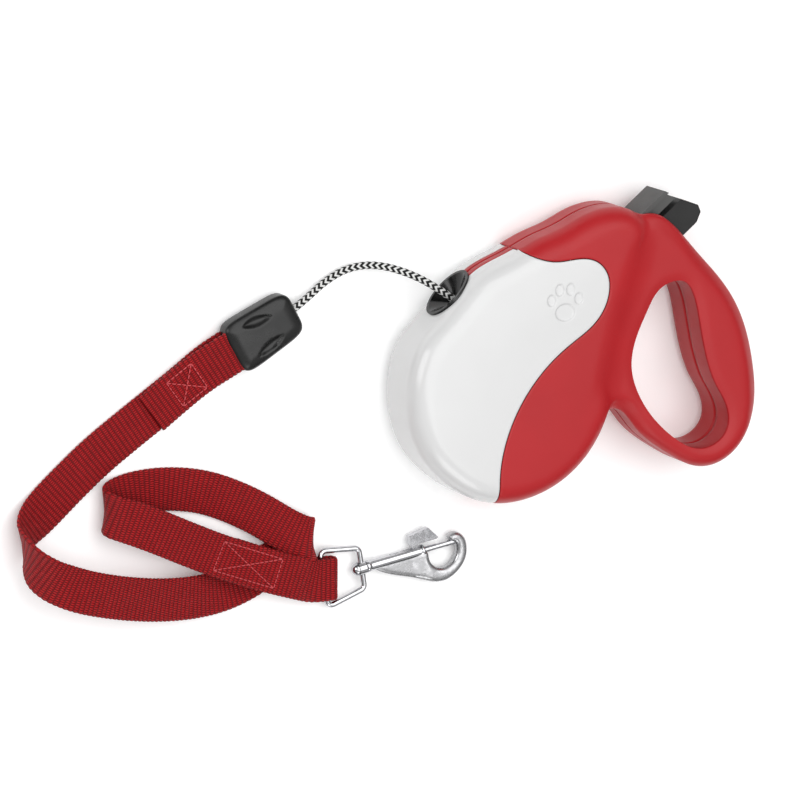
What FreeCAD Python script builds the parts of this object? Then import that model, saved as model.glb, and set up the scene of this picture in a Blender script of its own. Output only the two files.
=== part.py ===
import FreeCAD, Part
import math
import os

from FreeCAD import Placement, Rotation, Vector

# Retractable leash lying on its right side: nose towards -X, grip towards +X,
# thumb brake towards +Y, left side up. Lengths are millimetres.

UP = Vector(0, 0, 1)
DOWN = Vector(0, 0, -1)
LEFT = Vector(-1, 0, 0)
RIGHT = Vector(1, 0, 0)

SIZES = [
    ("casing_length", 184), ("casing_height", 134), ("casing_thickness", 36),
    ("grip_thickness", 26), ("casing_wall", 2.2), ("cover_skin", 1.8),
    ("panel_gap", 0.15), ("rim_round", 9), ("grip_round", 3),
    ("spine_width", 8), ("boss_radius", 3.2), ("screw_radius", 1.2),
    ("screw_length", 9), ("screw_head_radius", 2.4), ("screw_head_depth", 1.6),
    ("outlet_length", 26), ("outlet_width", 21), ("outlet_depth", 5.5),
    ("outlet_stand", 1.2), ("outlet_lip", 1.4), ("throat_clearance", 0.4),
    ("cord_diameter", 3.5), ("reel_radius", 41.5), ("reel_hub_radius", 16),
    ("reel_width", 13.5), ("reel_flange", 1.5), ("ratchet_width", 4),
    ("tooth_depth", 4), ("tooth_count", 12), ("tooth_gap_angle", 14),
    ("arbor_radius", 7), ("axle_radius", 3), ("run_fit", 0.05),
    ("coil_radius", 36), ("coil_clearance", 0.3), ("spring_radius", 27),
    ("spring_height", 5), ("spring_band", 0.6), ("spring_turns", 7),
    ("case_wall", 1.6), ("case_floor", 0.8), ("washer_thickness", 0.4),
    ("washer_radius", 6.5), ("button_width", 17.4), ("button_length", 23),
    ("button_travel", 4), ("lock_length", 7), ("lock_travel", 1.5),
    ("slide_fit", 0.2), ("pawl_width", 5), ("pawl_thickness", 3),
    ("connector_length", 35), ("connector_side", 2.5), ("connector_height", 11),
    ("connector_end_width", 15), ("bar_radius", 1.5), ("webbing_width", 20),
    ("webbing_thickness", 2), ("thread_width", 0.8), ("thread_height", 0.35),
    ("ring_wire", 2.8), ("ring_side_room", 3.7), ("ring_end_half", 9.8),
    ("ring_reach", 19.5), ("ring_corner", 2.6), ("hook_level", 3.8),
    ("shank_radius", 3.6), ("shank_length", 30), ("hook_inner_radius", 5.2),
    ("hook_outer_radius", 10.6), ("hook_plate", 6), ("bolt_radius", 1.4),
    ("bolt_travel", 8), ("bolt_length", 28.6), ("rivet_radius", 1.25),
]

NOMINAL_LENGTH = 184.0
NOMINAL_HEIGHT = 134.0

# Plan of the drum, counter-clockwise from the cord outlet's facet.
DRUM_PLAN = [
    (-66, 28.7), (-76.5, 18), (-84.5, 10), (-90, -2), (-92, -16), (-90.5, -30),
    (-85, -43.5), (-75, -55), (-62, -64.5), (-46, -69.8), (-30, -69.2), (-14, -63.5),
    (0, -52.5), (9.5, -38), (15, -22), (19, -4), (24, 14), (30, 32), (33, 46),
    (29.5, 57), (20, 63.3), (8, 63.8), (-1.5, 61.2), (-12, 56.5), (-24, 52.5),
    (-38, 46.3), (-55.5, 38.5),
]
# Plan of the handle hoop, whose left part lies inside the drum.
GRIP_PLAN = [
    (10, -29), (17.5, -31), (22.5, -35), (28.5, -42.5), (37, -50), (48, -57.3),
    (58, -62.4), (67, -63.6), (76, -61), (84, -54.5), (89.3, -45), (91.7, -33.5),
    (91, -20), (88.5, -7), (84.5, 5.5), (78.5, 17), (70, 28), (61, 37.5), (52, 47),
    (43, 55.5), (34, 60), (24, 56), (12, 42), (4, 20), (0, -2), (3, -20),
]
HOLE_PLAN = [
    (43, 27), (51, 26.5), (56, 19.5), (59, 8), (62.5, -8), (68.5, -24), (74.5, -35),
    (75.2, -45), (70, -51.5), (61.5, -54), (52.3, -51.3), (43, -44.8), (33, -34.5),
    (26, -23), (22.8, -11), (25, 2), (31, 15), (36.5, 23.5),
]
# Edge of the nose cover, from its top on the rim round the face to the belly.
COVER_EDGE = [
    (-40, 58), (-36, 49), (-28, 44.3), (-18.8, 42.3), (-7.5, 42.8), (1.2, 41),
    (7, 34.8), (8, 26.3), (5.5, 18.5), (0, 11.5), (-10, 4.5), (-20.4, -3),
    (-30.6, -13.3), (-38.3, -24.4), (-44.4, -37.9), (-47.5, -51.6), (-46.5, -78),
]
REEL_CENTRE = (-34, -9)
OUTLET_CENTRE = (-65.8, 28.6)
OUTLET_ANGLE = 135.8
PLUNGER_ANGLE = 38.5
SCREW_PLACES = [(-81, -27), (-30, -62), (-16, 48), (81, -12), (82, -46)]
PAW_CENTRE = (-15, 23)

# Free cord, from the outlet's throat to the connector's mouth.
CORD_ROUTE = [
    (-61.8, 24.7, 18), (-70.5, 31.2, 16.6), (-82, 38.2, 11.2), (-96, 42.6, 5.2),
    (-109, 41.6, 2.1), (-121, 35.8, 1.9), (-130.2, 29.6, 4), (-138.05, 25.22, 5.5),
]
CONNECTOR_CENTRE = (-153.5, 17)
CONNECTOR_ANGLE = 28
BAR_OFFSET = -11
FINGER_MARKS = [(-1.7, 6.9, -12), (-1, -6.6, 7)]
HOOK_ORIGIN = (-122.5, -102.5)
HOOK_ANGLE = 9

BACK = Vector(-0.883, -0.469, 0)
# Webbing, from the tail sewn down at the connector, round its bar, through three
# fold-overs and round the ring's bar: place and the face normal at that place.
STRAP_ROUTE = [
    (-207, -17, 3.2, DOWN), (-196, -9, 3.2, DOWN), (-184, -0.7, 3.7, DOWN),
    (-175, 5.2, 6.8, DOWN), (-168, 9.2, 8.15, DOWN), (-163.2, 11.8, 8.15, DOWN),
    (-159.3, 13.9, 8.15, DOWN + BACK), (-159.3, 13.9, 2.85, UP + BACK),
    (-163.2, 11.8, 2.85, UP), (-169.5, 8.4, 2.85, UP), (-178.5, 3, 1.2, UP),
    (-190, -5.3, 1.1, UP), (-204, -14.6, 1.1, UP), (-219, -24.5, 1.1, UP),
    (-233, -34, 1.1, UP), (-247, -45.5, 1.1, UP), (-260, -57, 1.2, UP),
    (-270.8, -66, 5.2, UP + RIGHT), (-272, -73.5, 16, RIGHT), (-266, -81.5, 22.6, DOWN + RIGHT),
    (-253, -88, 23.4, DOWN), (-240, -92.5, 21.6, DOWN), (-224, -97, 17.6, DOWN),
    (-207, -100.6, 13, DOWN), (-190, -102.6, 8.2, DOWN), (-174, -102.6, 3.4, DOWN),
    (-160, -99, 1.3, DOWN), (-149, -93, 1.1, DOWN), (-139, -87.8, 1.1, DOWN),
    (-133.4, -85, 1.5, DOWN), (-129.6, -84, 2.9, DOWN + RIGHT),
    (-129.6, -81.8, 7.4, UP + RIGHT), (-133.8, -81, 7.4, UP), (-142, -77, 5.8, UP),
    (-155, -68, 2.6, UP), (-169, -60.5, 1.2, UP), (-183, -55, 1.1, UP),
    (-198, -52.4, 1.1, UP), (-211, -52.2, 1.1, UP), (-222, -53.8, 1.5, UP),
    (-230.5, -56.4, 3.4, UP + RIGHT), (-231, -59.6, 11.6, DOWN + RIGHT),
    (-221, -63, 13.6, DOWN), (-208, -69, 13.4, DOWN), (-194, -76, 12.8, DOWN),
    (-179, -83.2, 12, DOWN), (-163, -89.8, 11.2, DOWN), (-149, -95.2, 10.8, DOWN),
    (-137, -99.2, 10.2, DOWN), (-129, -102.2, 7, DOWN), (-121.5, -102.4, 6.55, DOWN),
    (-116.9, -102.4, 6.55, DOWN + LEFT), (-116.9, -102.4, 1.15, UP + LEFT),
    (-121.5, -102.4, 1.15, UP), (-129, -102.2, 1.2, UP), (-137, -99.2, 7.8, UP),
    (-149, -95.2, 8.6, UP), (-163, -89.8, 9.05, UP), (-172, -86, 9.4, UP),
]

doc = FreeCAD.newDocument("retractable_leash")
sheet = doc.addObject("Spreadsheet::Sheet", "Sizes")
for row, (alias, value) in enumerate(SIZES, start=1):
    sheet.set("A%d" % row, alias)
    sheet.set("B%d" % row, str(value))
    sheet.setAlias("B%d" % row, alias)
doc.recompute()


def size(alias):
    """A driving dimension, read from the sheet."""
    return float(getattr(sheet, alias))


STRETCH_X = size("casing_length") / NOMINAL_LENGTH
STRETCH_Y = size("casing_height") / NOMINAL_HEIGHT
MID = size("casing_thickness") / 2
WALL = size("casing_wall")
GAP = size("panel_gap")
FIT = size("run_fit")
SLIDE = size("slide_fit")
CORD_R = size("cord_diameter") / 2
BUTTON_FRONT = 14
BUTTON_REAR = BUTTON_FRONT - size("button_length")
LOCK_REAR = BUTTON_FRONT - size("lock_length")
FAR = 400
NODES = []


def on_casing(place, level=0.0):
    """A plan place that follows the casing's length and height."""
    return Vector(place[0] * STRETCH_X, place[1] * STRETCH_Y, level)


def heading(angle):
    """Unit vector in the plan at an angle from +X."""
    return Vector(math.cos(math.radians(angle)), math.sin(math.radians(angle)), 0)


def frame(origin, angle):
    """Placement at a point, turned about +Z."""
    return Placement(origin, Rotation(UP, angle))


def keep(item, label):
    """Make an object a sub-part: it gets its label and is exported."""
    item.Label = label
    NODES.append(item)
    return item


def feature(label, shape, placement=None):
    """A sub-part whose shape is worked out from the sheet in code."""
    item = doc.addObject("Part::Feature", label)
    item.Shape = shape
    if placement is not None:
        item.Placement = placement
    return keep(item, label)


def cylinder(name, radius, height, placement):
    """A cylinder bound to the sheet."""
    item = doc.addObject("Part::Cylinder", name)
    item.setExpression("Radius", radius)
    item.setExpression("Height", height)
    item.Placement = placement
    return item


def cut(name, base, tool):
    """Base less tool, as document objects."""
    item = doc.addObject("Part::Cut", name)
    item.Base = base
    item.Tool = tool
    return item


def fuse(name, items):
    """Union of document objects."""
    item = doc.addObject("Part::MultiFuse", name)
    item.Shapes = items
    return item


def rod(radius, length, start, direction=UP):
    """A plain cylinder shape."""
    return Part.makeCylinder(radius, length, start, direction)


def slab(x_range, y_range, z_range):
    """A box shape given by its ranges."""
    corner = Vector(x_range[0], y_range[0], z_range[0])
    return Part.makeBox(x_range[1] - x_range[0], y_range[1] - y_range[0],
                        z_range[1] - z_range[0], corner)


def prism(points, low, high):
    """A straight-sided outline extruded from low to high."""
    corners = [Vector(x, y, low) for x, y in points]
    wire = Part.makePolygon(corners + corners[:1])
    return Part.Face(wire).extrude(Vector(0, 0, high - low))


def joined(shapes):
    """Union of shapes, cleaned of splitter edges."""
    return shapes[0].fuse(shapes[1:]).removeSplitter()


def offset_points(curve, points, inset):
    """The curve's through-points moved to its left by the inset."""
    moved = []
    for point in points:
        tangent = curve.tangent(curve.parameter(point))[0]
        moved.append(point + UP.cross(tangent) * inset)
    return moved


def loop_face(plan, inset):
    """Face inside a smooth closed outline, shrunk by the inset."""
    points = [on_casing(place) for place in plan]
    curve = Part.BSplineCurve()
    curve.interpolate(Points=points, PeriodicFlag=True)
    if inset:
        points = offset_points(curve, points, inset)
        curve = Part.BSplineCurve()
        curve.interpolate(Points=points, PeriodicFlag=True)
    return Part.Face(Part.Wire(curve.toShape()))


def rounded_plate(face, low, high, radius):
    """A face extruded from low to high with its two rims rounded."""
    face.translate(Vector(0, 0, low))
    solid = face.extrude(Vector(0, 0, high - low))
    rims = [edge for edge in solid.Edges if edge.BoundBox.ZLength < 1e-6]
    return solid.makeFillet(radius, rims)


def envelope(inset):
    """Outside of the casing, shrunk on every side by the inset."""
    grip_low = MID - size("grip_thickness") / 2
    drum = rounded_plate(loop_face(DRUM_PLAN, inset), inset, 2 * MID - inset,
                         size("rim_round") - inset)
    hoop = loop_face(GRIP_PLAN, inset).cut(loop_face(HOLE_PLAN, -inset)).Faces[0]
    hoop_solid = rounded_plate(hoop, grip_low + inset, 2 * MID - grip_low - inset,
                               max(size("grip_round") - inset, 0.4))
    return drum.fuse(hoop_solid)


def cover_region(inset):
    """Prism over the nose, left of the cover's edge."""
    points = [on_casing(place) for place in COVER_EDGE]
    curve = Part.BSplineCurve()
    curve.interpolate(Points=points)
    if inset:
        points = offset_points(curve, points, -inset)
        curve = Part.BSplineCurve()
        curve.interpolate(Points=points)
    left = -size("casing_length")
    last = points[-1]
    first = points[0]
    corners = [last, Vector(left, last.y, 0), Vector(left, first.y, 0), first]
    wire = Part.Wire([curve.toShape()] + Part.makePolygon(corners).Edges)
    region = Part.Face(wire).extrude(Vector(0, 0, 2 * MID + 2))
    region.translate(Vector(0, 0, -1))
    spine = slab((-62 * STRETCH_X, 0), (34 * STRETCH_Y, FAR),
                 (MID - size("spine_width") / 2 - inset, MID + size("spine_width") / 2 + inset))
    return region.cut(spine)


def ellipse_face(long_radius, short_radius):
    """Oval face in the YZ plane, long across Y."""
    ellipse = Part.Ellipse(Vector(0, 0, 0), long_radius, short_radius)
    face = Part.Face(Part.Wire(ellipse.toShape()))
    face.rotate(Vector(0, 0, 0), Vector(0, 1, 0), 90)
    face.rotate(Vector(0, 0, 0), Vector(1, 0, 0), 90)
    return face


def oval_plug(grow, depth, stand):
    """Oval prism through the casing wall at the outlet, its own axis +X outwards."""
    face = ellipse_face(size("outlet_length") / 2 + grow, size("outlet_width") / 2 + grow)
    face.translate(Vector(-depth, 0, 0))
    return face.extrude(Vector(depth + stand, 0, 0))


def outlet_place():
    """Placement of the outlet: +X leaves the casing."""
    return frame(on_casing(OUTLET_CENTRE, MID), OUTLET_ANGLE)


def button_frame():
    """Placement of the plunger: +X outwards from the reel's centre."""
    return frame(on_casing(REEL_CENTRE, MID), PLUNGER_ANGLE)


def plunger_reach():
    """Distance from the reel's centre to the middle of the button's seat."""
    seat = on_casing((42.5, 55))
    return (seat - on_casing(REEL_CENTRE)).dot(heading(PLUNGER_ANGLE))


def button_slot(grow):
    """Well in the casing that guides the button."""
    half_width = size("button_width") / 2 + grow
    return slab((plunger_reach() - 13 - grow, plunger_reach() + 40),
                (BUTTON_REAR - grow, BUTTON_FRONT + grow), (-half_width, half_width))


def flip(shape, placement):
    """A copy of a shape moved to a placement."""
    moved = shape.copy()
    moved.Placement = placement.multiply(moved.Placement)
    return moved


def casing_body():
    """Both casing halves as one hollow body, less the cover's recess."""
    outer = envelope(0)
    nose = cover_region(0)
    recess = nose.cut(envelope(size("cover_skin") + GAP))
    thick = size("cover_skin") + GAP + WALL
    cavity = envelope(WALL).cut(nose).fuse(envelope(thick))
    wide_plunger = flip(slab((0, plunger_reach() - 8), (-4, 4), (-4, 14)), button_frame())
    body = outer.cut(recess).cut(cavity)
    body = body.cut(flip(oval_plug(GAP, 25, 12), outlet_place()))
    return body.cut(flip(button_slot(SLIDE), button_frame())).cut(wide_plunger)


def bosses(low, high):
    """Screw pillars between two levels."""
    return [rod(size("boss_radius"), high - low, on_casing(place, low)) for place in SCREW_PLACES]


def axle_boss(low, high):
    """Short pillar that seats the axle's end."""
    return rod(size("axle_radius") + 3, high - low, on_casing(REEL_CENTRE, low))


def make_casing():
    """Right and left halves, split at the middle of the thickness."""
    body = casing_body()
    big = size("casing_length")
    right = body.common(slab((-big, big), (-big, big), (-1, MID)))
    left = body.common(slab((-big, big), (-big, big), (MID, 2 * MID + 1)))
    inside = envelope(SEAT)
    depth = SEAT + AXLE_SEAT
    axle_hole = rod(size("axle_radius") + FIT, 2 * (MID - depth), on_casing(REEL_CENTRE, depth))
    stop = axle_boss(REEL_TOP + size("washer_thickness"), 2 * MID - depth)
    right = right.fuse([pillar.common(inside) for pillar in bosses(0, MID)])
    left = left.fuse([pillar.common(inside) for pillar in bosses(MID, 2 * MID)] + [stop])
    head_depth = size("screw_head_depth") + GRIP_STEP
    for place in SCREW_PLACES:
        right = right.cut(rod(size("screw_radius") + GAP, MID, on_casing(place, 0)))
        right = right.cut(rod(size("screw_head_radius") + GAP, head_depth, on_casing(place, 0)))
        left = left.cut(rod(size("screw_radius"), size("screw_length"), on_casing(place, MID)))
    feature("casing_right", right.cut(axle_hole))
    feature("casing_left", left.cut(axle_hole))


def paw_print():
    """Generic paw, sunk a little into the cover's upper face."""
    centre = on_casing(PAW_CENTRE)
    depth = size("cover_skin") / 4
    pads = [(0, -4.5, 5.2), (-7, 1.5, 2.3), (-2.8, 6, 2.5), (2.8, 6, 2.5), (7, 1.5, 2.3)]
    shapes = []
    for shift_x, shift_y, radius in pads:
        start = centre + Vector(shift_x, shift_y, 2 * MID - depth)
        shapes.append(rod(radius, depth + 1, start))
    return shapes


def make_front_cover():
    """Thin shell over the nose, open at the spine and the outlet."""
    shell = envelope(0).cut(envelope(size("cover_skin"))).common(cover_region(GAP))
    shell = shell.cut(flip(oval_plug(GAP, 25, 12), outlet_place()))
    for pad in paw_print():
        shell = shell.cut(pad)
    solids = sorted(shell.Solids, key=lambda solid: solid.Volume)
    feature("front_cover", solids[-1])


def make_outlet():
    """Oval funnel that the cord leaves through."""
    length = size("outlet_length") / 2
    width = size("outlet_width") / 2
    lip = size("outlet_lip")
    depth = size("outlet_depth")
    stand = size("outlet_stand")
    mouth = ellipse_face(length - lip, width - lip)
    mouth.translate(Vector(stand, 0, 0))
    throat = ellipse_face(CORD_R + size("throat_clearance") + 0.4, CORD_R + size("throat_clearance"))
    throat.translate(Vector(-depth, 0, 0))
    funnel = Part.makeLoft([mouth.OuterWire, throat.OuterWire], True)
    plug = oval_plug(0, depth, stand)
    feature("outlet_bezel", plug.cut(funnel), outlet_place())


def make_screws():
    """Casing screws, driven in from the right side."""
    shapes = []
    low = GRIP_STEP
    for place in SCREW_PLACES:
        head = rod(size("screw_head_radius"), size("screw_head_depth"), on_casing(place, low))
        socket = rod(size("screw_head_radius") / 2, size("screw_head_depth") / 2, on_casing(place, low))
        reach = MID - low - size("screw_head_depth") + size("screw_length")
        shank = rod(size("screw_radius"), reach, on_casing(place, low + size("screw_head_depth")))
        shapes.append(head.cut(socket).fuse(shank).removeSplitter())
    feature("casing_screws", Part.makeCompound(shapes))


GRIP_STEP = MID - size("grip_thickness") / 2
AXLE_SEAT = 0.6
SEAT = size("cover_skin") + GAP
CASE_LOW = SEAT + WALL + 0.1
CASE_TOP = CASE_LOW + size("case_floor") + size("spring_height") + 1.2
COVER_TOP = CASE_TOP + size("case_floor")
REEL_LOW = COVER_TOP + 0.3
RATCHET_LOW = REEL_LOW + size("reel_flange") + size("reel_width")
REEL_TOP = RATCHET_LOW + size("ratchet_width")


def reel_place(level=0.0):
    """Placement on the reel's axis at a level."""
    return Placement(on_casing(REEL_CENTRE, level), Rotation())


def ratchet_teeth():
    """Gaps round the ratchet flange: one wedge, repeated."""
    count = int(round(size("tooth_count")))
    outer = size("reel_radius") + 1
    inner = size("reel_radius") - size("tooth_depth") - 0.6
    half = size("tooth_gap_angle") / 2
    low = heading(-half)
    high = heading(half)
    wedge = prism([(low.x * inner, low.y * inner), (low.x * outer, low.y * outer),
                   (high.x * outer, high.y * outer), (high.x * inner, high.y * inner)],
                  RATCHET_LOW - 0.5, REEL_TOP + 0.5)
    gaps = []
    for number in range(count):
        gap = wedge.copy()
        gap.rotate(Vector(0, 0, 0), UP, PLUNGER_ANGLE + number * 360.0 / count)
        gaps.append(gap)
    return Part.makeCompound(gaps)


def make_reel():
    """Cord reel with its ratchet flange, spring arbor and bore."""
    lower = cylinder("reel_lower", "Sizes.reel_radius", "Sizes.reel_flange", reel_place(REEL_LOW))
    hub = cylinder("reel_hub", "Sizes.reel_hub_radius", "Sizes.reel_width + 0.2",
                   reel_place(REEL_LOW + size("reel_flange") - 0.1))
    upper = cylinder("reel_upper", "Sizes.reel_radius", "Sizes.ratchet_width",
                     reel_place(RATCHET_LOW))
    arbor_low = CASE_LOW + size("case_floor") + 0.3
    arbor = cylinder("reel_arbor", "Sizes.arbor_radius", "%f" % (REEL_LOW - arbor_low + 0.1),
                     reel_place(arbor_low))
    gaps = doc.addObject("Part::Feature", "reel_gaps")
    gaps.Shape = ratchet_teeth()
    gaps.Placement = reel_place()
    bore = cylinder("reel_bore", "Sizes.axle_radius + Sizes.run_fit", "Sizes.casing_thickness",
                    reel_place())
    toothed = cut("reel_toothed", upper, gaps)
    body = fuse("reel_body", [lower, hub, toothed, arbor])
    keep(cut("reel_drum_cut", body, bore), "reel_drum")


def make_wound_cord():
    """The stored cord, as the outer shape of its turns on the hub."""
    height = "Sizes.reel_width - 2 * Sizes.coil_clearance"
    level = REEL_LOW + size("reel_flange") + size("coil_clearance")
    outer = cylinder("coil_outer", "Sizes.coil_radius", height, reel_place(level))
    inner = cylinder("coil_inner", "Sizes.reel_hub_radius", height, reel_place(level))
    keep(cut("coil_cut", outer, inner), "wound_cord")


def make_axle():
    """Fixed axle and the washer above the reel."""
    depth = SEAT + AXLE_SEAT
    axle = cylinder("axle", "Sizes.axle_radius", "Sizes.casing_thickness - %f" % (2 * depth),
                    reel_place(depth))
    keep(axle, "reel_axle")
    level = REEL_TOP + 0.05
    disc = cylinder("washer_disc", "Sizes.washer_radius", "Sizes.washer_thickness - 0.1",
                    reel_place(level))
    bore = cylinder("washer_bore", "Sizes.axle_radius + Sizes.run_fit", "Sizes.washer_thickness",
                    reel_place(level - 0.05))
    keep(cut("washer_cut", disc, bore), "axle_washer")


def make_spring_case():
    """Cup and lid that hold the rewind spring."""
    outer = cylinder("cup_outer", "Sizes.spring_radius + 1 + Sizes.case_wall", "%f" % (CASE_TOP - CASE_LOW),
                     reel_place(CASE_LOW))
    inner = cylinder("cup_inner", "Sizes.spring_radius + 1", "Sizes.casing_thickness",
                     reel_place(CASE_LOW + size("case_floor")))
    bore = cylinder("cup_bore", "Sizes.arbor_radius + 0.5", "Sizes.casing_thickness", reel_place())
    keep(cut("cup_cut", cut("cup_hollow", outer, inner), bore), "spring_case")
    lid = cylinder("lid_disc", "Sizes.spring_radius + 1 + Sizes.case_wall", "Sizes.case_floor",
                   reel_place(CASE_TOP))
    hole = cylinder("lid_bore", "Sizes.arbor_radius + 0.5", "Sizes.casing_thickness", reel_place())
    keep(cut("lid_cut", lid, hole), "spring_lid")


def spiral_points(first, last, turns, shift):
    """Points of a flat spiral between two radii."""
    steps = int(round(turns * 10))
    points = []
    for step in range(steps + 1):
        angle = 2 * math.pi * turns * step / steps
        radius = first + (last - first) * step / steps + shift
        points.append(Vector(radius * math.cos(angle), radius * math.sin(angle), 0))
    return points


def make_spiral_spring():
    """Flat steel rewind spring, wound between the arbor and its case."""
    first = size("arbor_radius") + 1.2
    last = size("spring_radius") - size("spring_band")
    inner = Part.BSplineCurve()
    inner.interpolate(Points=spiral_points(first, last, size("spring_turns"), 0))
    outer = Part.BSplineCurve()
    outer.interpolate(Points=spiral_points(first, last, size("spring_turns"), size("spring_band")))
    ends = [Part.LineSegment(inner.StartPoint, outer.StartPoint).toShape(),
            Part.LineSegment(inner.EndPoint, outer.EndPoint).toShape()]
    wire = Part.Wire(Part.__sortEdges__([inner.toShape(), outer.toShape()] + ends))
    band = Part.Face(wire).extrude(Vector(0, 0, size("spring_height")))
    level = CASE_LOW + size("case_floor") + 0.6
    feature("rewind_spring", band, reel_place(level))


def button_profile():
    """Side outline of the brake button in the plunger frame, behind the lock."""
    seat = plunger_reach()
    front = LOCK_REAR - size("lock_travel") - SLIDE
    return [(seat - 8, BUTTON_REAR), (seat + 13, BUTTON_REAR), (seat + 16.8, BUTTON_REAR + 2),
            (seat + 17.8, BUTTON_REAR + 5.5), (seat + 12.5, front), (seat - 8, front)]


def make_button():
    """Brake button, with the foot that its lock slides on."""
    half = size("button_width") / 2
    seat = plunger_reach()
    thumb = prism(button_profile(), -half, half)
    top_edges = [edge for edge in thumb.Edges if edge.BoundBox.XMin > seat + 11]
    thumb = thumb.makeFillet(1.2, top_edges)
    foot = slab((seat - 11, seat - 8), (BUTTON_REAR, BUTTON_FRONT), (-half, half))
    feature("brake_button", joined([thumb, foot]), button_frame())


def make_lock():
    """Lock slider in front of the thumb pad: a face plate on a narrower tongue."""
    half = size("button_width") / 2
    seat = plunger_reach()
    face = prism([(seat - 7.7, BUTTON_FRONT), (seat - 7.7, BUTTON_FRONT - 2),
                  (seat + 9.4, BUTTON_FRONT - 2), (seat + 8.4, BUTTON_FRONT)], -half, half)
    tongue = prism([(seat - 7.7, BUTTON_FRONT - 2), (seat - 7.7, LOCK_REAR),
                    (seat + 11, LOCK_REAR), (seat + 8.4, BUTTON_FRONT - 2)],
                   -half + 1.6, half - 1.6)
    feature("lock_slider", joined([face, tongue]), button_frame())


def make_pawl():
    """Brake pawl: a finger from the button's foot to the ratchet's rim."""
    seat = plunger_reach()
    tip = size("reel_radius") + 0.6
    width = size("pawl_width") / 2
    low = RATCHET_LOW + (size("ratchet_width") - size("pawl_thickness")) / 2 - MID
    finger = prism([(tip, -width + 0.6), (tip + 2, -width), (seat - 11, -width),
                    (seat - 11, width), (tip + 2, width), (tip, width - 0.6)],
                   low, low + size("pawl_thickness"))
    feature("brake_pawl", finger, button_frame())


def wire_coil(radius, wire, pitch, turns):
    """A coil spring along +Z, as a six-sided wire on a many-sided helix."""
    steps = 14
    points = []
    for step in range(int(turns * steps) + 1):
        bearing = heading(step * 360.0 / steps) * radius
        points.append(bearing + UP * (pitch * step / steps))
    along = (points[1] - points[0]).normalize()
    side = along.cross(UP).normalize()
    rise = side.cross(along)
    ring = []
    for number in range(6):
        angle = math.radians(60 * number)
        ring.append(points[0] + (side * math.cos(angle) + rise * math.sin(angle)) * wire)
    profile = Part.makePolygon(ring + ring[:1])
    return Part.makePolygon(points).makePipeShell([profile], True, False, 1)


def make_brake_spring():
    """Return spring below the button's foot."""
    turns = 6
    pitch = (size("button_travel") + 8) / turns
    start = plunger_reach() - 11.4 - pitch * turns
    turned = Placement(Vector(start, 6.5, 0), Rotation(Vector(0, 1, 0), 90))
    feature("brake_spring", wire_coil(2.4, 0.35, pitch, turns), button_frame().multiply(turned))


def tangent_tube(points, radius):
    """A round tube of straight runs joined by tangent arcs."""
    edges = []
    radii = []
    last = points[0]
    for before, corner, after in zip(points, points[1:], points[2:]):
        inward = (before - corner).normalize()
        outward = (after - corner).normalize()
        turn = math.pi - inward.getAngle(outward)
        shorter = min((before - corner).Length, (after - corner).Length)
        arc_radius = 0.45 * shorter / math.tan(turn / 2)
        radii.append(arc_radius)
        start = corner + inward * 0.45 * shorter
        end = corner + outward * 0.45 * shorter
        bisector = (inward + outward).normalize()
        middle = corner + bisector * (arc_radius / math.cos(turn / 2) - arc_radius)
        edges.append(Part.LineSegment(last, start).toShape())
        edges.append(Part.Arc(start, middle, end).toShape())
        last = end
    edges.append(Part.LineSegment(last, points[-1]).toShape())
    path = Part.Wire(edges)
    circle = Part.Circle(points[0], (points[1] - points[0]).normalize(), radius)
    tube = path.makePipeShell([Part.Wire(circle.toShape())], True, False)
    share = tube.Volume / (math.pi * radius ** 2 * path.Length)
    print("tube radii", [round(value, 1) for value in radii], "volume share", round(share, 4))
    return tube


def make_cord():
    """Free cord from the outlet to the connector, and its lead inside the casing."""
    points = [Vector(*place) for place in CORD_ROUTE]
    throat = outlet_place().multVec(Vector(-size("outlet_depth"), 0, 0))
    points[0] = throat
    feature("cord", tangent_tube(points, CORD_R))
    centre = on_casing(REEL_CENTRE, MID)
    reach = throat - centre
    level = size("coil_radius") + 0.4 + CORD_R
    bearing = math.degrees(math.atan2(reach.y, reach.x))
    bearing = bearing - math.degrees(math.acos(level / reach.Length))
    tangent = centre + heading(bearing) * level
    lead = rod(CORD_R, (throat - tangent).Length - 0.4, tangent, throat - tangent)
    feature("cord_lead", lead)


def connector_shape():
    """Outside of the connector in its own frame, cord end towards +X."""
    half_length = size("connector_length") / 2
    half_width = size("webbing_width") / 2 + size("connector_side")
    half_end = size("connector_end_width") / 2
    height = size("connector_height")
    outline = [(-half_length, -half_width), (half_length - 8.5, -half_width),
               (half_length, -half_end), (half_length, half_end),
               (half_length - 8.5, half_width), (-half_length, half_width)]
    block = prism(outline, 0, height)
    uprights = [edge for edge in block.Edges if edge.BoundBox.ZLength > height / 2]
    block = block.makeFillet(2.5, uprights)
    rims = [edge for edge in block.Edges if edge.BoundBox.ZLength < 1e-6]
    block = block.makeFillet(1.6, rims)
    strap_half = size("webbing_width") / 2 + 0.4
    height_half = 2.65 + size("webbing_thickness") / 2 + 0.25
    pocket = slab((-half_length - 1, BAR_OFFSET + 6.2), (-strap_half, strap_half),
                  (height / 2 - height_half, height / 2 + height_half))
    bore = rod(CORD_R, 14, Vector(half_length - 10, 0, height / 2), RIGHT)
    return block.cut(pocket).cut(bore)


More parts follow.
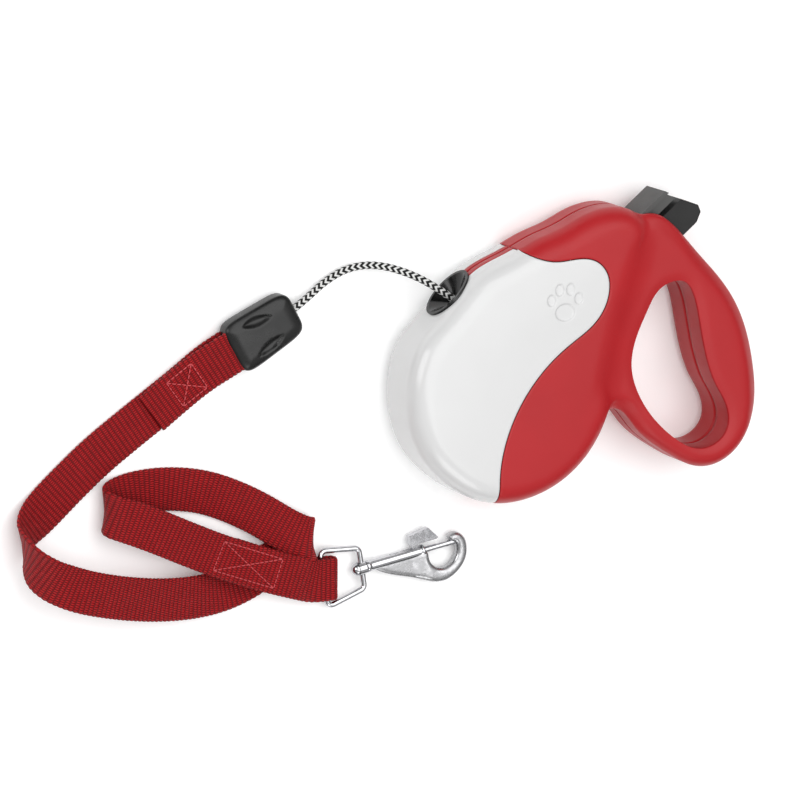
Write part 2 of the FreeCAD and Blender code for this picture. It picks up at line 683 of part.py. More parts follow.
def make_connector():
    """Two moulded halves round the strap's bar and the cord's end."""
    place = frame(Vector(CONNECTOR_CENTRE[0], CONNECTOR_CENTRE[1], 0), CONNECTOR_ANGLE)
    whole = connector_shape()
    height = size("connector_height")
    big = size("connector_length")
    bar_reach = size("webbing_width") + 3.6
    bar = rod(size("bar_radius"), bar_reach, Vector(BAR_OFFSET, -bar_reach / 2, height / 2),
              Vector(0, 1, 0))
    whole = whole.cut(bar)
    for x, y, turn in FINGER_MARKS:
        spot = Vector(x, y, height)
        mark = Part.Face(Part.Wire(Part.Ellipse(spot, 7, 2).toShape()))
        mark.rotate(spot, UP, turn)
        whole = whole.cut(mark.extrude(Vector(0, 0, -0.9)))
    feature("connector_lower", whole.common(slab((-big, big), (-big, big), (0, height / 2))), place)
    feature("connector_upper", whole.common(slab((-big, big), (-big, big), (height / 2, height))), place)
    feature("connector_bar", bar, place)


def ribbon_face(first, second):
    """Face between two clamped quadratic splines given by their poles."""
    spans = len(first) - 2
    surface = Part.BSplineSurface()
    surface.buildFromPolesMultsKnots(
        [first, second], [2, 2], [3] + [1] * (spans - 1) + [3], [0.0, 1.0],
        [float(number) for number in range(spans + 1)], False, False, 1, 2)
    return surface.toShape()


def strap_frames():
    """Place, across and face vectors at each point of the webbing's route."""
    places = [Vector(*entry[:3]) for entry in STRAP_ROUTE]
    frames = []
    for number, entry in enumerate(STRAP_ROUTE):
        before = places[max(number - 1, 0)]
        after = places[min(number + 1, len(places) - 1)]
        along = (after - before).normalize()
        across = along.cross(entry[3]).normalize()
        face = across.cross(along).normalize()
        frames.append((places[number], across, face))
    return frames


def make_strap():
    """Webbing as a closed band: four long faces and two ends."""
    half = size("webbing_width") / 2
    thick = size("webbing_thickness") / 2
    corners = []
    for side, level in ((-1, -1), (1, -1), (1, 1), (-1, 1)):
        corners.append([place + across * side * half + face * level * thick
                        for place, across, face in strap_frames()])
    faces = [ribbon_face(first, second) for first, second in zip(corners, corners[1:] + corners[:1])]
    for end in (0, -1):
        ring = [poles[end] for poles in corners]
        faces.append(Part.Face(Part.makePolygon(ring + ring[:1])))
    shell = Part.makeShell(faces)
    shell.sewShape()
    solid = Part.makeSolid(shell)
    if solid.Volume < 0:
        solid.reverse()
    print("strap volume share", round(solid.Volume / (4 * half * thick * strap_length()), 3))
    feature("strap", solid)


def strap_length():
    """Length of the webbing's route, from a clamped quadratic spline."""
    poles = [place for place, across, face in strap_frames()]
    spans = len(poles) - 2
    curve = Part.BSplineCurve()
    knots = [float(number) for number in range(spans + 1)]
    curve.buildFromPolesMultsKnots(poles, [3] + [1] * (spans - 1) + [3], knots, False, 2)
    return curve.toShape().Length


def thread_bar(start, end):
    """One straight run of stitching between two places on the webbing."""
    along = end - start
    bar = Part.makeBox(along.Length, size("thread_width"), size("thread_height") + 0.2,
                       Vector(0, -size("thread_width") / 2, -0.2))
    bar.Placement = Placement(start, Rotation(RIGHT, along))
    return bar


def stitch_box(corners):
    """Box-and-cross seam through four corners."""
    pairs = [(0, 1), (1, 2), (2, 3), (3, 0), (0, 2), (1, 3)]
    return [thread_bar(corners[first], corners[second]) for first, second in pairs]


def seam_corners(first, last, side_sign):
    """Seam corners on the upper face, between two points of the route."""
    frames = strap_frames()
    reach = size("webbing_width") / 2 - 3
    lift = size("webbing_thickness") / 2
    corners = []
    for number, sign in ((first, -1), (first, 1), (last, 1), (last, -1)):
        place, across, face = frames[number]
        corners.append(place + across * sign * reach + face * side_sign * lift)
    return corners


def make_stitching():
    """Thread of the two sewn ends."""
    connector_end = joined(stitch_box(seam_corners(1, 2, -1)))
    hook_end = joined(stitch_box(seam_corners(45, 47, -1)))
    feature("strap_stitching", Part.makeCompound([connector_end, hook_end]))


def hook_frame():
    """Placement of the ring and hook: +X along the swivel axis."""
    return frame(Vector(HOOK_ORIGIN[0], HOOK_ORIGIN[1], size("hook_level")), HOOK_ANGLE)


def round_wire(corners, radius, bend):
    """Round bar along a closed plan outline with rounded corners."""
    outline = Part.makePolygon(corners + corners[:1])
    count = len(corners)
    edges = []
    previous_end = None
    first_start = None
    for number in range(count):
        before = corners[number - 1]
        corner = corners[number]
        after = corners[(number + 1) % count]
        inward = (before - corner).normalize()
        outward = (after - corner).normalize()
        turn = math.pi - inward.getAngle(outward)
        reach = bend * math.tan(turn / 2)
        start = corner + inward * reach
        end = corner + outward * reach
        middle = corner + (inward + outward).normalize() * (bend / math.cos(turn / 2) - bend)
        if previous_end is not None:
            edges.append(Part.LineSegment(previous_end, start).toShape())
        else:
            first_start = start
        edges.append(Part.Arc(start, middle, end).toShape())
        previous_end = end
    edges.append(Part.LineSegment(previous_end, first_start).toShape())
    path = Part.Wire(edges)
    circle = Part.Circle(first_start, (corners[0] - corners[-1]).normalize(), radius)
    return path.makePipeShell([Part.Wire(circle.toShape())], True, False)


def make_ring():
    """Trapezoid ring with an eye for the swivel rivet."""
    reach = size("ring_reach")
    bar_half = size("webbing_width") / 2 + size("ring_side_room")
    end_half = size("ring_end_half")
    corners = [Vector(0, -bar_half, 0), Vector(reach, -end_half, 0),
               Vector(reach, end_half, 0), Vector(0, bar_half, 0)]
    wire = round_wire(corners, size("ring_wire") / 2, size("ring_corner"))
    eye = rod(3.1, 3.4, Vector(reach - 1.7, 0, 0), RIGHT)
    bore = rod(size("rivet_radius") + FIT, 10, Vector(reach - 5, 0, 0), RIGHT)
    feature("swivel_ring", wire.fuse(eye).cut(bore), hook_frame())


def make_rivet():
    """Rivet that holds the hook in the ring's eye and lets it swivel."""
    reach = size("ring_reach")
    stem = rod(size("rivet_radius"), 7.4, Vector(reach - 3, 0, 0), RIGHT)
    head = Part.makeSphere(3, Vector(reach - 2, 0, 0)).common(
        slab((reach - 5, reach - 2), (-4, 4), (-4, 4)))
    feature("swivel_rivet", joined([head, stem]), hook_frame())


def hook_blank():
    """Flat hook round the eye, open at the bolt."""
    inner = size("hook_inner_radius")
    outer = size("hook_outer_radius")
    half = size("hook_plate") / 2
    centre = Vector(HOOK_EYE_X, HOOK_EYE_Y, -half)
    disc = rod(outer, 2 * half, centre)
    eye = rod(inner, 2 * half, centre)
    nose = HOOK_EYE_X + inner
    gap = prism([(SHANK_END + 0.2, -2.6), (nose, -2.6), (nose, 1.9),
                 (nose - 3, 14), (SHANK_END + 0.2, 14)], -2 * half, 2 * half)
    return disc.cut(eye).cut(gap)


SHANK_START = size("ring_reach") + 2.1
SHANK_END = SHANK_START + size("shank_length")
HOOK_EYE_X = SHANK_END + size("hook_inner_radius") + 5.6
HOOK_EYE_Y = -size("hook_inner_radius") - size("bolt_radius") - FIT


def make_hook():
    """Swivel hook, its spring bolt and the bolt's spring."""
    place = hook_frame()
    shank = rod(size("shank_radius"), size("shank_length"), Vector(SHANK_START, 0, 0), RIGHT)
    half = size("hook_plate") / 2
    web = prism([(SHANK_START + 8, -size("shank_radius") + 0.4), (SHANK_END + 3, -12.5),
                 (SHANK_END + 3, 0), (SHANK_START + 8, 0)], -half, half)
    eye = rod(size("hook_inner_radius"), 2 * half + 2, Vector(HOOK_EYE_X, HOOK_EYE_Y, -half - 1))
    body = joined([shank, web.cut(eye), hook_blank()])
    bore = rod(size("bolt_radius") + FIT, size("shank_length") + 4, Vector(SHANK_START + 2.4, 0, 0), RIGHT)
    slot_start = SHANK_END - 6.5 - size("bolt_travel")
    slot = slab((slot_start, SHANK_END + 1), (0, 2 * size("shank_radius")), (-1.1, 1.1))
    rivet_hole = rod(size("rivet_radius"), 2.5, Vector(SHANK_START - 0.1, 0, 0), RIGHT)
    nose = HOOK_EYE_X + size("hook_inner_radius")
    notch = rod(size("bolt_radius") + FIT, 2, Vector(nose - 0.1, 0, 0), RIGHT)
    body = body.cut(bore).cut(slot).cut(rivet_hole).cut(notch)
    feature("hook_body", body, place)

    tip = nose + 1.8
    pin = rod(size("bolt_radius"), size("bolt_length"), Vector(tip - size("bolt_length"), 0, 0), RIGHT)
    neck = slab((SHANK_END - 5.5, SHANK_END - 2.5), (0, 4.6), (-0.9, 0.9))
    fin = prism([(SHANK_END - 6.5, 4), (SHANK_END - 6.8, 8.8), (SHANK_END + 3.5, 10.4),
                 (SHANK_END + 8, 4.6), (SHANK_END + 6.8, 4)], -1.5, 1.5)
    feature("hook_bolt", joined([pin, neck, fin]), place)

    rear = tip - size("bolt_length")
    turned = Placement(Vector(rear - 6.4, 0, 0), Rotation(Vector(0, 1, 0), 90))
    feature("bolt_spring", wire_coil(0.95, 0.2, 0.88, 7), place.multiply(turned))


def check_document():
    """Stop if anything in the document failed."""
    for item in doc.Objects:
        if "Invalid" in item.State or "Error" in item.State:
            raise RuntimeError("%s failed: %s" % (item.Label, item.State))
    for node in NODES:
        if node.Shape.isNull() or not node.Shape.isValid() or not node.Shape.Solids:
            raise RuntimeError("%s has no valid solid" % node.Label)


make_casing()
make_front_cover()
make_outlet()
make_screws()
make_reel()
make_wound_cord()
make_axle()
make_spring_case()
make_spiral_spring()
make_button()
make_lock()
make_pawl()
make_brake_spring()
make_cord()
make_connector()
make_strap()
make_stitching()
make_ring()
make_rivet()
make_hook()
doc.recompute()
check_document()
os.makedirs("parts", exist_ok=True)
for node in NODES:
    node.Shape.exportStep(os.path.join("parts", node.Label + ".step"))
    print(node.Label, len(node.Shape.Solids), round(node.Shape.Volume))
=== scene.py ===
import logging
import math
from dataclasses import dataclass, field
from enum import Enum
from typing import Callable, Sequence

import bmesh
import bpy
from mathutils import Matrix, Vector
from mathutils.geometry import delaunay_2d_cdt
from mathutils.kdtree import KDTree


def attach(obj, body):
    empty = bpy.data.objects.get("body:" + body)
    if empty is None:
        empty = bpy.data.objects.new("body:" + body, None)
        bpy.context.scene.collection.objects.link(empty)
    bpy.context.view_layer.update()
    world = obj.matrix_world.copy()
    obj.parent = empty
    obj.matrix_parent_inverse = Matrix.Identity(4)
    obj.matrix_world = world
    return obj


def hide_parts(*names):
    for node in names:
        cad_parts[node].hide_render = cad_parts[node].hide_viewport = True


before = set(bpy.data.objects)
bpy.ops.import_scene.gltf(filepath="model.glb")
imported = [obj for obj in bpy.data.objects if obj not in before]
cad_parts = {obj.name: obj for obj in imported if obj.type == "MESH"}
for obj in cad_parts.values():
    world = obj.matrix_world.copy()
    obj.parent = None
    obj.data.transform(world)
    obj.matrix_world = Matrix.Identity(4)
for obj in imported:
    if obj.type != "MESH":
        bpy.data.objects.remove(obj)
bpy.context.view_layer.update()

LOG = logging.getLogger("retractable_leash")

MM = 0.001
MID = 18.0
UP = Vector((0, 0, 1))
DOWN = Vector((0, 0, -1))
LEFT = Vector((-1, 0, 0))
RIGHT = Vector((1, 0, 0))
BACK = Vector((-0.883, -0.469, 0))

# Plan outlines of the casing in millimetres, as in the part's own drawing.
DRUM_PLAN = [
    (-66, 28.7), (-76.5, 18), (-84.5, 10), (-90, -2), (-92, -16), (-90.5, -30),
    (-85, -43.5), (-75, -55), (-62, -64.5), (-46, -69.8), (-30, -69.2), (-14, -63.5),
    (0, -52.5), (9.5, -38), (15, -22), (19, -4), (24, 14), (30, 32), (33, 46),
    (29.5, 57), (20, 63.3), (8, 63.8), (-1.5, 61.2), (-12, 56.5), (-24, 52.5),
    (-38, 46.3), (-55.5, 38.5),
]
GRIP_PLAN = [
    (10, -29), (17.5, -31), (22.5, -35), (28.5, -42.5), (37, -50), (48, -57.3),
    (58, -62.4), (67, -63.6), (76, -61), (84, -54.5), (89.3, -45), (91.7, -33.5),
    (91, -20), (88.5, -7), (84.5, 5.5), (78.5, 17), (70, 28), (61, 37.5), (52, 47),
    (43, 55.5), (34, 60), (24, 56), (12, 42), (4, 20), (0, -2), (3, -20),
]
HOLE_PLAN = [
    (43, 27), (51, 26.5), (56, 19.5), (59, 8), (62.5, -8), (68.5, -24), (74.5, -35),
    (75.2, -45), (70, -51.5), (61.5, -54), (52.3, -51.3), (43, -44.8), (33, -34.5),
    (26, -23), (22.8, -11), (25, 2), (31, 15), (36.5, 23.5),
]
COVER_EDGE = [
    (-40, 58), (-36, 49), (-28, 44.3), (-18.8, 42.3), (-7.5, 42.8), (1.2, 41),
    (7, 34.8), (8, 26.3), (5.5, 18.5), (0, 11.5), (-10, 4.5), (-20.4, -3),
    (-30.6, -13.3), (-38.3, -24.4), (-44.4, -37.9), (-47.5, -51.6), (-46.5, -78),
]
REEL_CENTRE = (-34.0, -9.0)
OUTLET_CENTRE = (-65.8, 28.6)
OUTLET_ANGLE = 135.8
PLUNGER_ANGLE = 38.5
PAW_REACH = 26
PAW_PITCH = 0.42
PAW_CENTRE = (-15.0, 23.0)

# Free cord, from the outlet's throat to the connector's mouth.
CORD_ROUTE = [
    (-61.86, 24.77, 18), (-70.5, 31.2, 16.6), (-82, 38.2, 11.2), (-96, 42.6, 5.2),
    (-109, 41.6, 2.1), (-121, 35.8, 1.9), (-130.2, 29.6, 4), (-138.05, 25.22, 5.5),
]
# Webbing: place and face normal, from one sewn tail round both bars to the other.
STRAP_ROUTE = [
    (-207, -17, 3.2, DOWN), (-196, -9, 3.2, DOWN), (-184, -0.7, 3.7, DOWN),
    (-175, 5.2, 6.8, DOWN), (-168, 9.2, 8.15, DOWN), (-163.2, 11.8, 8.15, DOWN),
    (-159.3, 13.9, 8.15, DOWN + BACK), (-159.3, 13.9, 2.85, UP + BACK),
    (-163.2, 11.8, 2.85, UP), (-169.5, 8.4, 2.85, UP), (-178.5, 3, 1.2, UP),
    (-190, -5.3, 1.1, UP), (-204, -14.6, 1.1, UP), (-219, -24.5, 1.1, UP),
    (-233, -34, 1.1, UP), (-247, -45.5, 1.1, UP), (-260, -57, 1.2, UP),
    (-270.8, -66, 5.2, UP + RIGHT), (-272, -73.5, 16, RIGHT), (-266, -81.5, 22.6, DOWN + RIGHT),
    (-253, -88, 23.4, DOWN), (-240, -92.5, 21.6, DOWN), (-224, -97, 17.6, DOWN),
    (-207, -100.6, 13, DOWN), (-190, -102.6, 8.2, DOWN), (-174, -102.6, 3.4, DOWN),
    (-160, -99, 1.3, DOWN), (-149, -93, 1.1, DOWN), (-139, -87.8, 1.1, DOWN),
    (-133.4, -85, 1.5, DOWN), (-129.6, -84, 2.9, DOWN + RIGHT),
    (-129.6, -81.8, 7.4, UP + RIGHT), (-133.8, -81, 7.4, UP), (-142, -77, 5.8, UP),
    (-155, -68, 2.6, UP), (-169, -60.5, 1.2, UP), (-183, -55, 1.1, UP),
    (-198, -52.4, 1.1, UP), (-211, -52.2, 1.1, UP), (-222, -53.8, 1.5, UP),
    (-230.5, -56.4, 3.4, UP + RIGHT), (-231, -59.6, 11.6, DOWN + RIGHT),
    (-221, -63, 13.6, DOWN), (-208, -69, 13.4, DOWN), (-194, -76, 12.8, DOWN),
    (-179, -83.2, 12, DOWN), (-163, -89.8, 11.2, DOWN), (-149, -95.2, 10.8, DOWN),
    (-137, -99.2, 10.2, DOWN), (-129, -102.2, 7, DOWN), (-121.5, -102.4, 6.55, DOWN),
    (-116.9, -102.4, 6.55, DOWN + LEFT), (-116.9, -102.4, 1.15, UP + LEFT),
    (-121.5, -102.4, 1.15, UP), (-129, -102.2, 1.2, UP), (-137, -99.2, 7.8, UP),
    (-149, -95.2, 8.6, UP), (-163, -89.8, 9.05, UP), (-172, -86, 9.4, UP),
]


class Region(Enum):
    """Which moulding a stretch of the casing's skin belongs to."""

    SHELL = "shell"
    COVER = "cover"


class Half(Enum):
    """Which side of the casing's parting plane a skin lies on."""

    UPPER = 1
    LOWER = -1


# ---------------------------------------------------------------- materials


class Shader:
    """A material's node tree while it is put together."""

    def __init__(self, name: str) -> None:
        """Start a material.

        Args:
            name: Name of the new material.
        """
        self.material = bpy.data.materials.new(name)
        self.material.use_nodes = True
        self.tree = self.material.node_tree
        self.surface = self.tree.nodes["Principled BSDF"]

    def plain(self, **values: object) -> None:
        """Set sockets of the surface to plain values, underscores standing for spaces."""
        for key, value in values.items():
            self.surface.inputs[key.replace("_", " ")].default_value = value

    def node(self, kind: str, **values: object) -> bpy.types.Node:
        """Add a node.

        Args:
            kind: Node type without its ShaderNode prefix.
            **values: Attributes to set on the node.

        Returns:
            The new node.
        """
        made = self.tree.nodes.new("ShaderNode" + kind)
        for key, value in values.items():
            setattr(made, key, value)
        return made

    def feed(self, value: object, socket: bpy.types.NodeSocket) -> None:
        """Link an output to a socket, or set the socket if a plain value is given.

        Args:
            value: An output, or a plain value.
            socket: The input that takes it.
        """
        if isinstance(value, bpy.types.NodeSocket):
            self.tree.links.new(value, socket)
        else:
            socket.default_value = value

    def math(self, operation: str, first: object, second: object = 0.0) -> bpy.types.NodeSocket:
        """One arithmetic step.

        Args:
            operation: Name of the operation.
            first: A socket or number.
            second: A socket or number.

        Returns:
            The result's socket.
        """
        made = self.node("Math", operation=operation)
        self.feed(first, made.inputs[0])
        self.feed(second, made.inputs[1])
        return made.outputs[0]

    def noise(self, scale: float, detail: float = 3.0) -> bpy.types.NodeSocket:
        """Even noise in the object's own space.

        Args:
            scale: Cells per metre.
            detail: Octaves.

        Returns:
            The noise value's socket.
        """
        place = self.node("TexCoord")
        made = self.node("TexNoise")
        self.tree.links.new(place.outputs["Object"], made.inputs["Vector"])
        made.inputs["Scale"].default_value = scale
        made.inputs["Detail"].default_value = detail
        return made.outputs["Fac"]

    def band(self, value: bpy.types.NodeSocket, low: float, high: float,
             start: float, end: float) -> bpy.types.NodeSocket:
        """Map a value's range onto another one, with its ends held.

        Args:
            value: The incoming socket.
            low: Start of the incoming range.
            high: End of the incoming range.
            start: Result at the start.
            end: Result at the end.

        Returns:
            The mapped socket.
        """
        made = self.node("MapRange")
        self.feed(value, made.inputs["Value"])
        for key, number in (("From Min", low), ("From Max", high), ("To Min", start), ("To Max", end)):
            made.inputs[key].default_value = number
        return made.outputs["Result"]

    def blend(self, factor: bpy.types.NodeSocket, first: Sequence[float],
              second: Sequence[float]) -> bpy.types.NodeSocket:
        """Colour between two colours.

        Args:
            factor: Socket from 0 to 1.
            first: Colour at 0.
            second: Colour at 1.

        Returns:
            The colour's socket.
        """
        made = self.node("Mix", data_type="RGBA")
        self.feed(factor, made.inputs[0])
        made.inputs[6].default_value = (*first, 1)
        made.inputs[7].default_value = (*second, 1)
        return made.outputs[2]

    def bump(self, height: bpy.types.NodeSocket, distance: float, strength: float = 1.0) -> None:
        """Raise the surface by a height socket, distance in metres.

        Args:
            height: The height as a socket.
            distance: Height of 1 in metres.
            strength: How much of it to use.
        """
        made = self.node("Bump")
        made.inputs["Strength"].default_value = strength
        made.inputs["Distance"].default_value = distance
        self.feed(height, made.inputs["Height"])
        self.tree.links.new(made.outputs["Normal"], self.surface.inputs["Normal"])

    def colour(self, socket: bpy.types.NodeSocket) -> None:
        """Use a colour socket as the base colour."""
        self.tree.links.new(socket, self.surface.inputs["Base Color"])

    def roughness(self, socket: bpy.types.NodeSocket) -> None:
        """Use a socket as the roughness."""
        self.tree.links.new(socket, self.surface.inputs["Roughness"])

    def strip(self) -> tuple[bpy.types.NodeSocket, bpy.types.NodeSocket]:
        """Places along and across a swept piece.

        Returns:
            Sockets of the length along, and of the place across.
        """
        source = self.node("UVMap", uv_map="strip")
        split = self.node("SeparateXYZ")
        self.tree.links.new(source.outputs[0], split.inputs[0])
        return split.outputs[0], split.outputs[1]


@dataclass(frozen=True)
class Moulding:
    """Injection-moulded plastic with a fine skin and faint flow marks."""

    name: str
    colour: tuple[float, float, float]
    roughness: float = 0.3
    spread: float = 0.08
    mottle: float = 0.06
    grain: float = 0.00002
    grain_scale: float = 2600.0
    coat: float = 0.0
    gleam: float = 0.5

    def make(self) -> bpy.types.Material:
        """Build the material.

        Returns:
            The finished material.
        """
        shader = Shader(self.name)
        shader.plain(IOR=1.5, Coat_Weight=self.coat, Coat_Roughness=0.12, Specular_IOR_Level=self.gleam)
        flow = shader.noise(38.0, 2.0)
        dark = tuple(part * (1 - self.mottle) for part in self.colour)
        shader.colour(shader.blend(shader.band(flow, 0.35, 0.65, 0, 1), dark, self.colour))
        cloud = shader.noise(160.0, 4.0)
        shader.roughness(shader.band(cloud, 0.3, 0.7, self.roughness, self.roughness + self.spread))
        shader.bump(shader.noise(self.grain_scale, 2.0), self.grain, 0.6)
        return shader.material


@dataclass(frozen=True)
class Plate:
    """Polished or brushed metal with faint wipe marks."""

    name: str
    colour: tuple[float, float, float]
    roughness: float = 0.07
    wear: float = 0.12
    ripple: float = 0.00001

    def make(self) -> bpy.types.Material:
        """Build the material.

        Returns:
            The finished material.
        """
        shader = Shader(self.name)
        shader.plain(Metallic=1.0)
        dull = tuple(part * 0.86 for part in self.colour)
        cloud = shader.noise(420.0, 5.0)
        shader.colour(shader.blend(shader.band(cloud, 0.35, 0.7, 0, 1), self.colour, dull))
        shader.roughness(shader.band(cloud, 0.4, 0.75, self.roughness, self.roughness + self.wear))
        shader.bump(shader.noise(900.0, 2.0), self.ripple, 0.5)
        return shader.material


@dataclass(frozen=True)
class Weave:
    """Heavy webbing: rows of short floats across the band, with painted shade in the hollows between the
    floats.
    """

    name: str
    colour: tuple[float, float, float]
    # shade: the darker colour that is painted into the low places between floats, as painted shade.
    shade: tuple[float, float, float]
    row: float = 2.3
    float_width: float = 1.05
    depth: float = 0.0005

    def make(self) -> bpy.types.Material:
        """Build the material.

        Returns:
            The finished material.
        """
        shader = Shader(self.name)
        shader.plain(Roughness=0.55, Specular_IOR_Level=0.22)
        along, across = shader.strip()
        turn = shader.math("MULTIPLY", along, math.pi / self.row)
        rows = shader.math("ABSOLUTE", shader.math("SINE", turn))
        parity = shader.math("MULTIPLY", shader.math("SIGN", shader.math("SINE", turn)), math.pi / 4)
        swing = shader.math("ADD", shader.math("MULTIPLY", across, math.pi / self.float_width), parity)
        floats = shader.math("ABSOLUTE", shader.math("SINE", swing))
        height = shader.math("MULTIPLY", shader.math("POWER", rows, 0.8), shader.math("POWER", floats, 0.9))
        fibre = shader.noise(5200.0, 3.0)
        fuzz = shader.math("MULTIPLY", fibre, 0.22)
        lift = shader.math("ADD", height, fuzz)
        # The colour darkens toward the shade colour where the floats are low: painted shade in the hollows
        # between floats, with random tone over it.
        tone = shader.math("MULTIPLY", height, shader.band(shader.noise(300.0, 3.0), 0.3, 0.7, 0.8, 1.05))
        shader.colour(shader.blend(shader.band(tone, 0.1, 0.9, 0, 1), self.shade, self.colour))
        shader.bump(lift, self.depth, 0.9)
        return shader.material


@dataclass(frozen=True)
class Braid:
    """Round braid of dark and light yarns that run in chevrons."""

    name: str
    dark: tuple[float, float, float]
    light: tuple[float, float, float]
    pitch: float = 2.9
    zigzags: float = 4.0

    def make(self) -> bpy.types.Material:
        """Build the material.

        Returns:
            The finished material.
        """
        shader = Shader(self.name)
        shader.plain(Roughness=0.7, Specular_IOR_Level=0.2)
        along, around = shader.strip()
        zig = shader.math("PINGPONG", shader.math("MULTIPLY", around, self.zigzags), 0.5)
        lean = shader.math("MULTIPLY", zig, 1.1)
        turn = shader.math("ADD", shader.math("DIVIDE", along, self.pitch), lean)
        wave = shader.math("SINE", shader.math("MULTIPLY", turn, 2 * math.pi))
        yarn = shader.band(wave, 0.02, 0.34, 0, 1)
        fibre = shader.noise(6000.0, 3.0)
        bright = tuple(part * 0.8 for part in self.light)
        tone = shader.node("Mix", data_type="RGBA")
        shader.feed(yarn, tone.inputs[0])
        tone.inputs[6].default_value = (*self.dark, 1)
        shader.feed(shader.blend(fibre, bright, self.light), tone.inputs[7])
        shader.colour(tone.outputs[2])
        ridge = shader.math("ABSOLUTE", wave)
        shader.bump(shader.math("ADD", ridge, shader.math("MULTIPLY", fibre, 0.3)), 0.00018, 0.8)
        return shader.material


@dataclass(frozen=True)
class Paper:
    """Seamless pale backdrop with a very faint tooth."""

    name: str = "backdrop"
    colour: tuple[float, float, float] = (0.95, 0.95, 0.95)

    def make(self) -> bpy.types.Material:
        """Build the material.

        Returns:
            The finished material.
        """
        shader = Shader(self.name)
        shader.plain(Roughness=0.95, Specular_IOR_Level=0.1, Emission_Strength=0.12)
        tint = tuple(part * 0.985 for part in self.colour)
        shader.colour(shader.blend(shader.noise(60.0, 2.0), tint, self.colour))
        return shader.material


# ---------------------------------------------------------------- mesh tools


def new_piece(name: str, verts: Sequence[Sequence[float]], faces: Sequence[Sequence[int]],
              material: bpy.types.Material, body: str, weld: bool = False) -> bpy.types.Object:
    """Make a smooth-shaded piece from millimetre points and let it ride on a body.

    Args:
        name: Name of the object.
        verts: Points in millimetres.
        faces: Vertex numbers of each face.
        material: Its finish.
        body: Body that it rides on.
        weld: Merge points that coincide.

    Returns:
        The new object.
    """
    mesh = bpy.data.meshes.new(name)
    mesh.from_pydata([Vector(point) * MM for point in verts], [], faces)
    mesh.shade_smooth()
    if weld:
        work = bmesh.new()
        work.from_mesh(mesh)
        bmesh.ops.remove_doubles(work, verts=work.verts, dist=2e-6)
        loose = [vertex for vertex in work.verts if not vertex.link_faces]
        bmesh.ops.delete(work, geom=loose, context="VERTS")
        for edge in work.edges:
            edge.smooth = not edge.is_boundary
        work.to_mesh(mesh)
        work.free()
    mesh.materials.append(material)
    piece = bpy.data.objects.new(name, mesh)
    bpy.context.scene.collection.objects.link(piece)
    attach(piece, body)
    return piece


def dress(node: str, material: bpy.types.Material) -> None:
    """Give a CAD node its finish, on the object's own slots.

    Args:
        node: Name of the CAD node.
        material: Its finish.
    """
    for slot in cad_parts[node].material_slots:
        slot.link = "OBJECT"
        slot.material = material


def spline_points(name: str, route: Sequence[Vector], steps: int = 12) -> list[Vector]:
    """Points along a smooth spline whose control points are the route's.

    Args:
        name: Name for the passing curve.
        route: Control points in millimetres.
        steps: Points per span.

    Returns:
        Points of the spline in millimetres.
    """
    data = bpy.data.curves.new(name, "CURVE")
    data.dimensions = "3D"
    spline = data.splines.new("NURBS")
    spline.points.add(len(route) - 1)
    for point, place in zip(spline.points, route):
        point.co = (place[0] * MM, place[1] * MM, place[2] * MM, 1)
    spline.order_u = 3
    spline.use_endpoint_u = True
    spline.resolution_u = steps
    carrier = bpy.data.objects.new(name, data)
    mesh = bpy.data.meshes.new_from_object(carrier)
    points = [vertex.co / MM for vertex in mesh.vertices]
    bpy.data.objects.remove(carrier)
    bpy.data.curves.remove(data)
    bpy.data.meshes.remove(mesh)
    return points


def spaced(points: Sequence[Vector], spacing: float, closed: bool = False) -> list[Vector]:
    """The same line with evenly spaced points.

    Args:
        points: Points of the line.
        spacing: Wanted distance between points.
        closed: Whether the last point joins the first.

    Returns:
        The evenly spaced points.
    """
    line = list(points) + ([points[0]] if closed else [])
    lengths = [0.0]
    for first, second in zip(line, line[1:]):
        lengths.append(lengths[-1] + (second - first).length)
    count = max(int(round(lengths[-1] / spacing)), 2)
    made = []
    index = 0
    for number in range(count if closed else count + 1):
        target = lengths[-1] * number / count
        while index < len(lengths) - 2 and lengths[index + 1] < target:
            index += 1
        span = max(lengths[index + 1] - lengths[index], 1e-9)
        made.append(line[index].lerp(line[index + 1], (target - lengths[index]) / span))
    return made


def smooth_line(plan: Sequence[Sequence[float]], closed: bool, spacing: float = 0.3) -> list[Vector]:
    """Evenly spaced points of a cubic spline through a plan's places.

    Args:
        plan: Places in millimetres.
        closed: Whether the line closes on itself.
        spacing: Distance between the returned points.

    Returns:
        Points in the plan.
    """
    places = [Vector((*place, 0)) for place in plan]
    count = len(places)
    spans = [(places[(n + 1) % count] - places[n]).length for n in range(count)]
    bends = [Vector((0, 0, 0)) for _ in places]
    inner = range(count) if closed else range(1, count - 1)
    for _ in range(80):
        for n in inner:
            before, after = spans[n - 1], spans[n]
            slope = (places[(n + 1) % count] - places[n]) / after - (places[n] - places[n - 1]) / before
            near = bends[n - 1] * before + bends[(n + 1) % count] * after
            bends[n] = (slope * 6 - near) / (2 * (before + after))
    line = []
    for n in range(count if closed else count - 1):
        m = (n + 1) % count
        for step in range(16):
            b = step / 16
            a = 1 - b
            square = spans[n] ** 2 / 6
            line.append(places[n] * a + places[m] * b
                        + (bends[n] * (a ** 3 - a) + bends[m] * (b ** 3 - b)) * square)
    if not closed:
        line.append(places[-1])
    return spaced(line, spacing, closed)


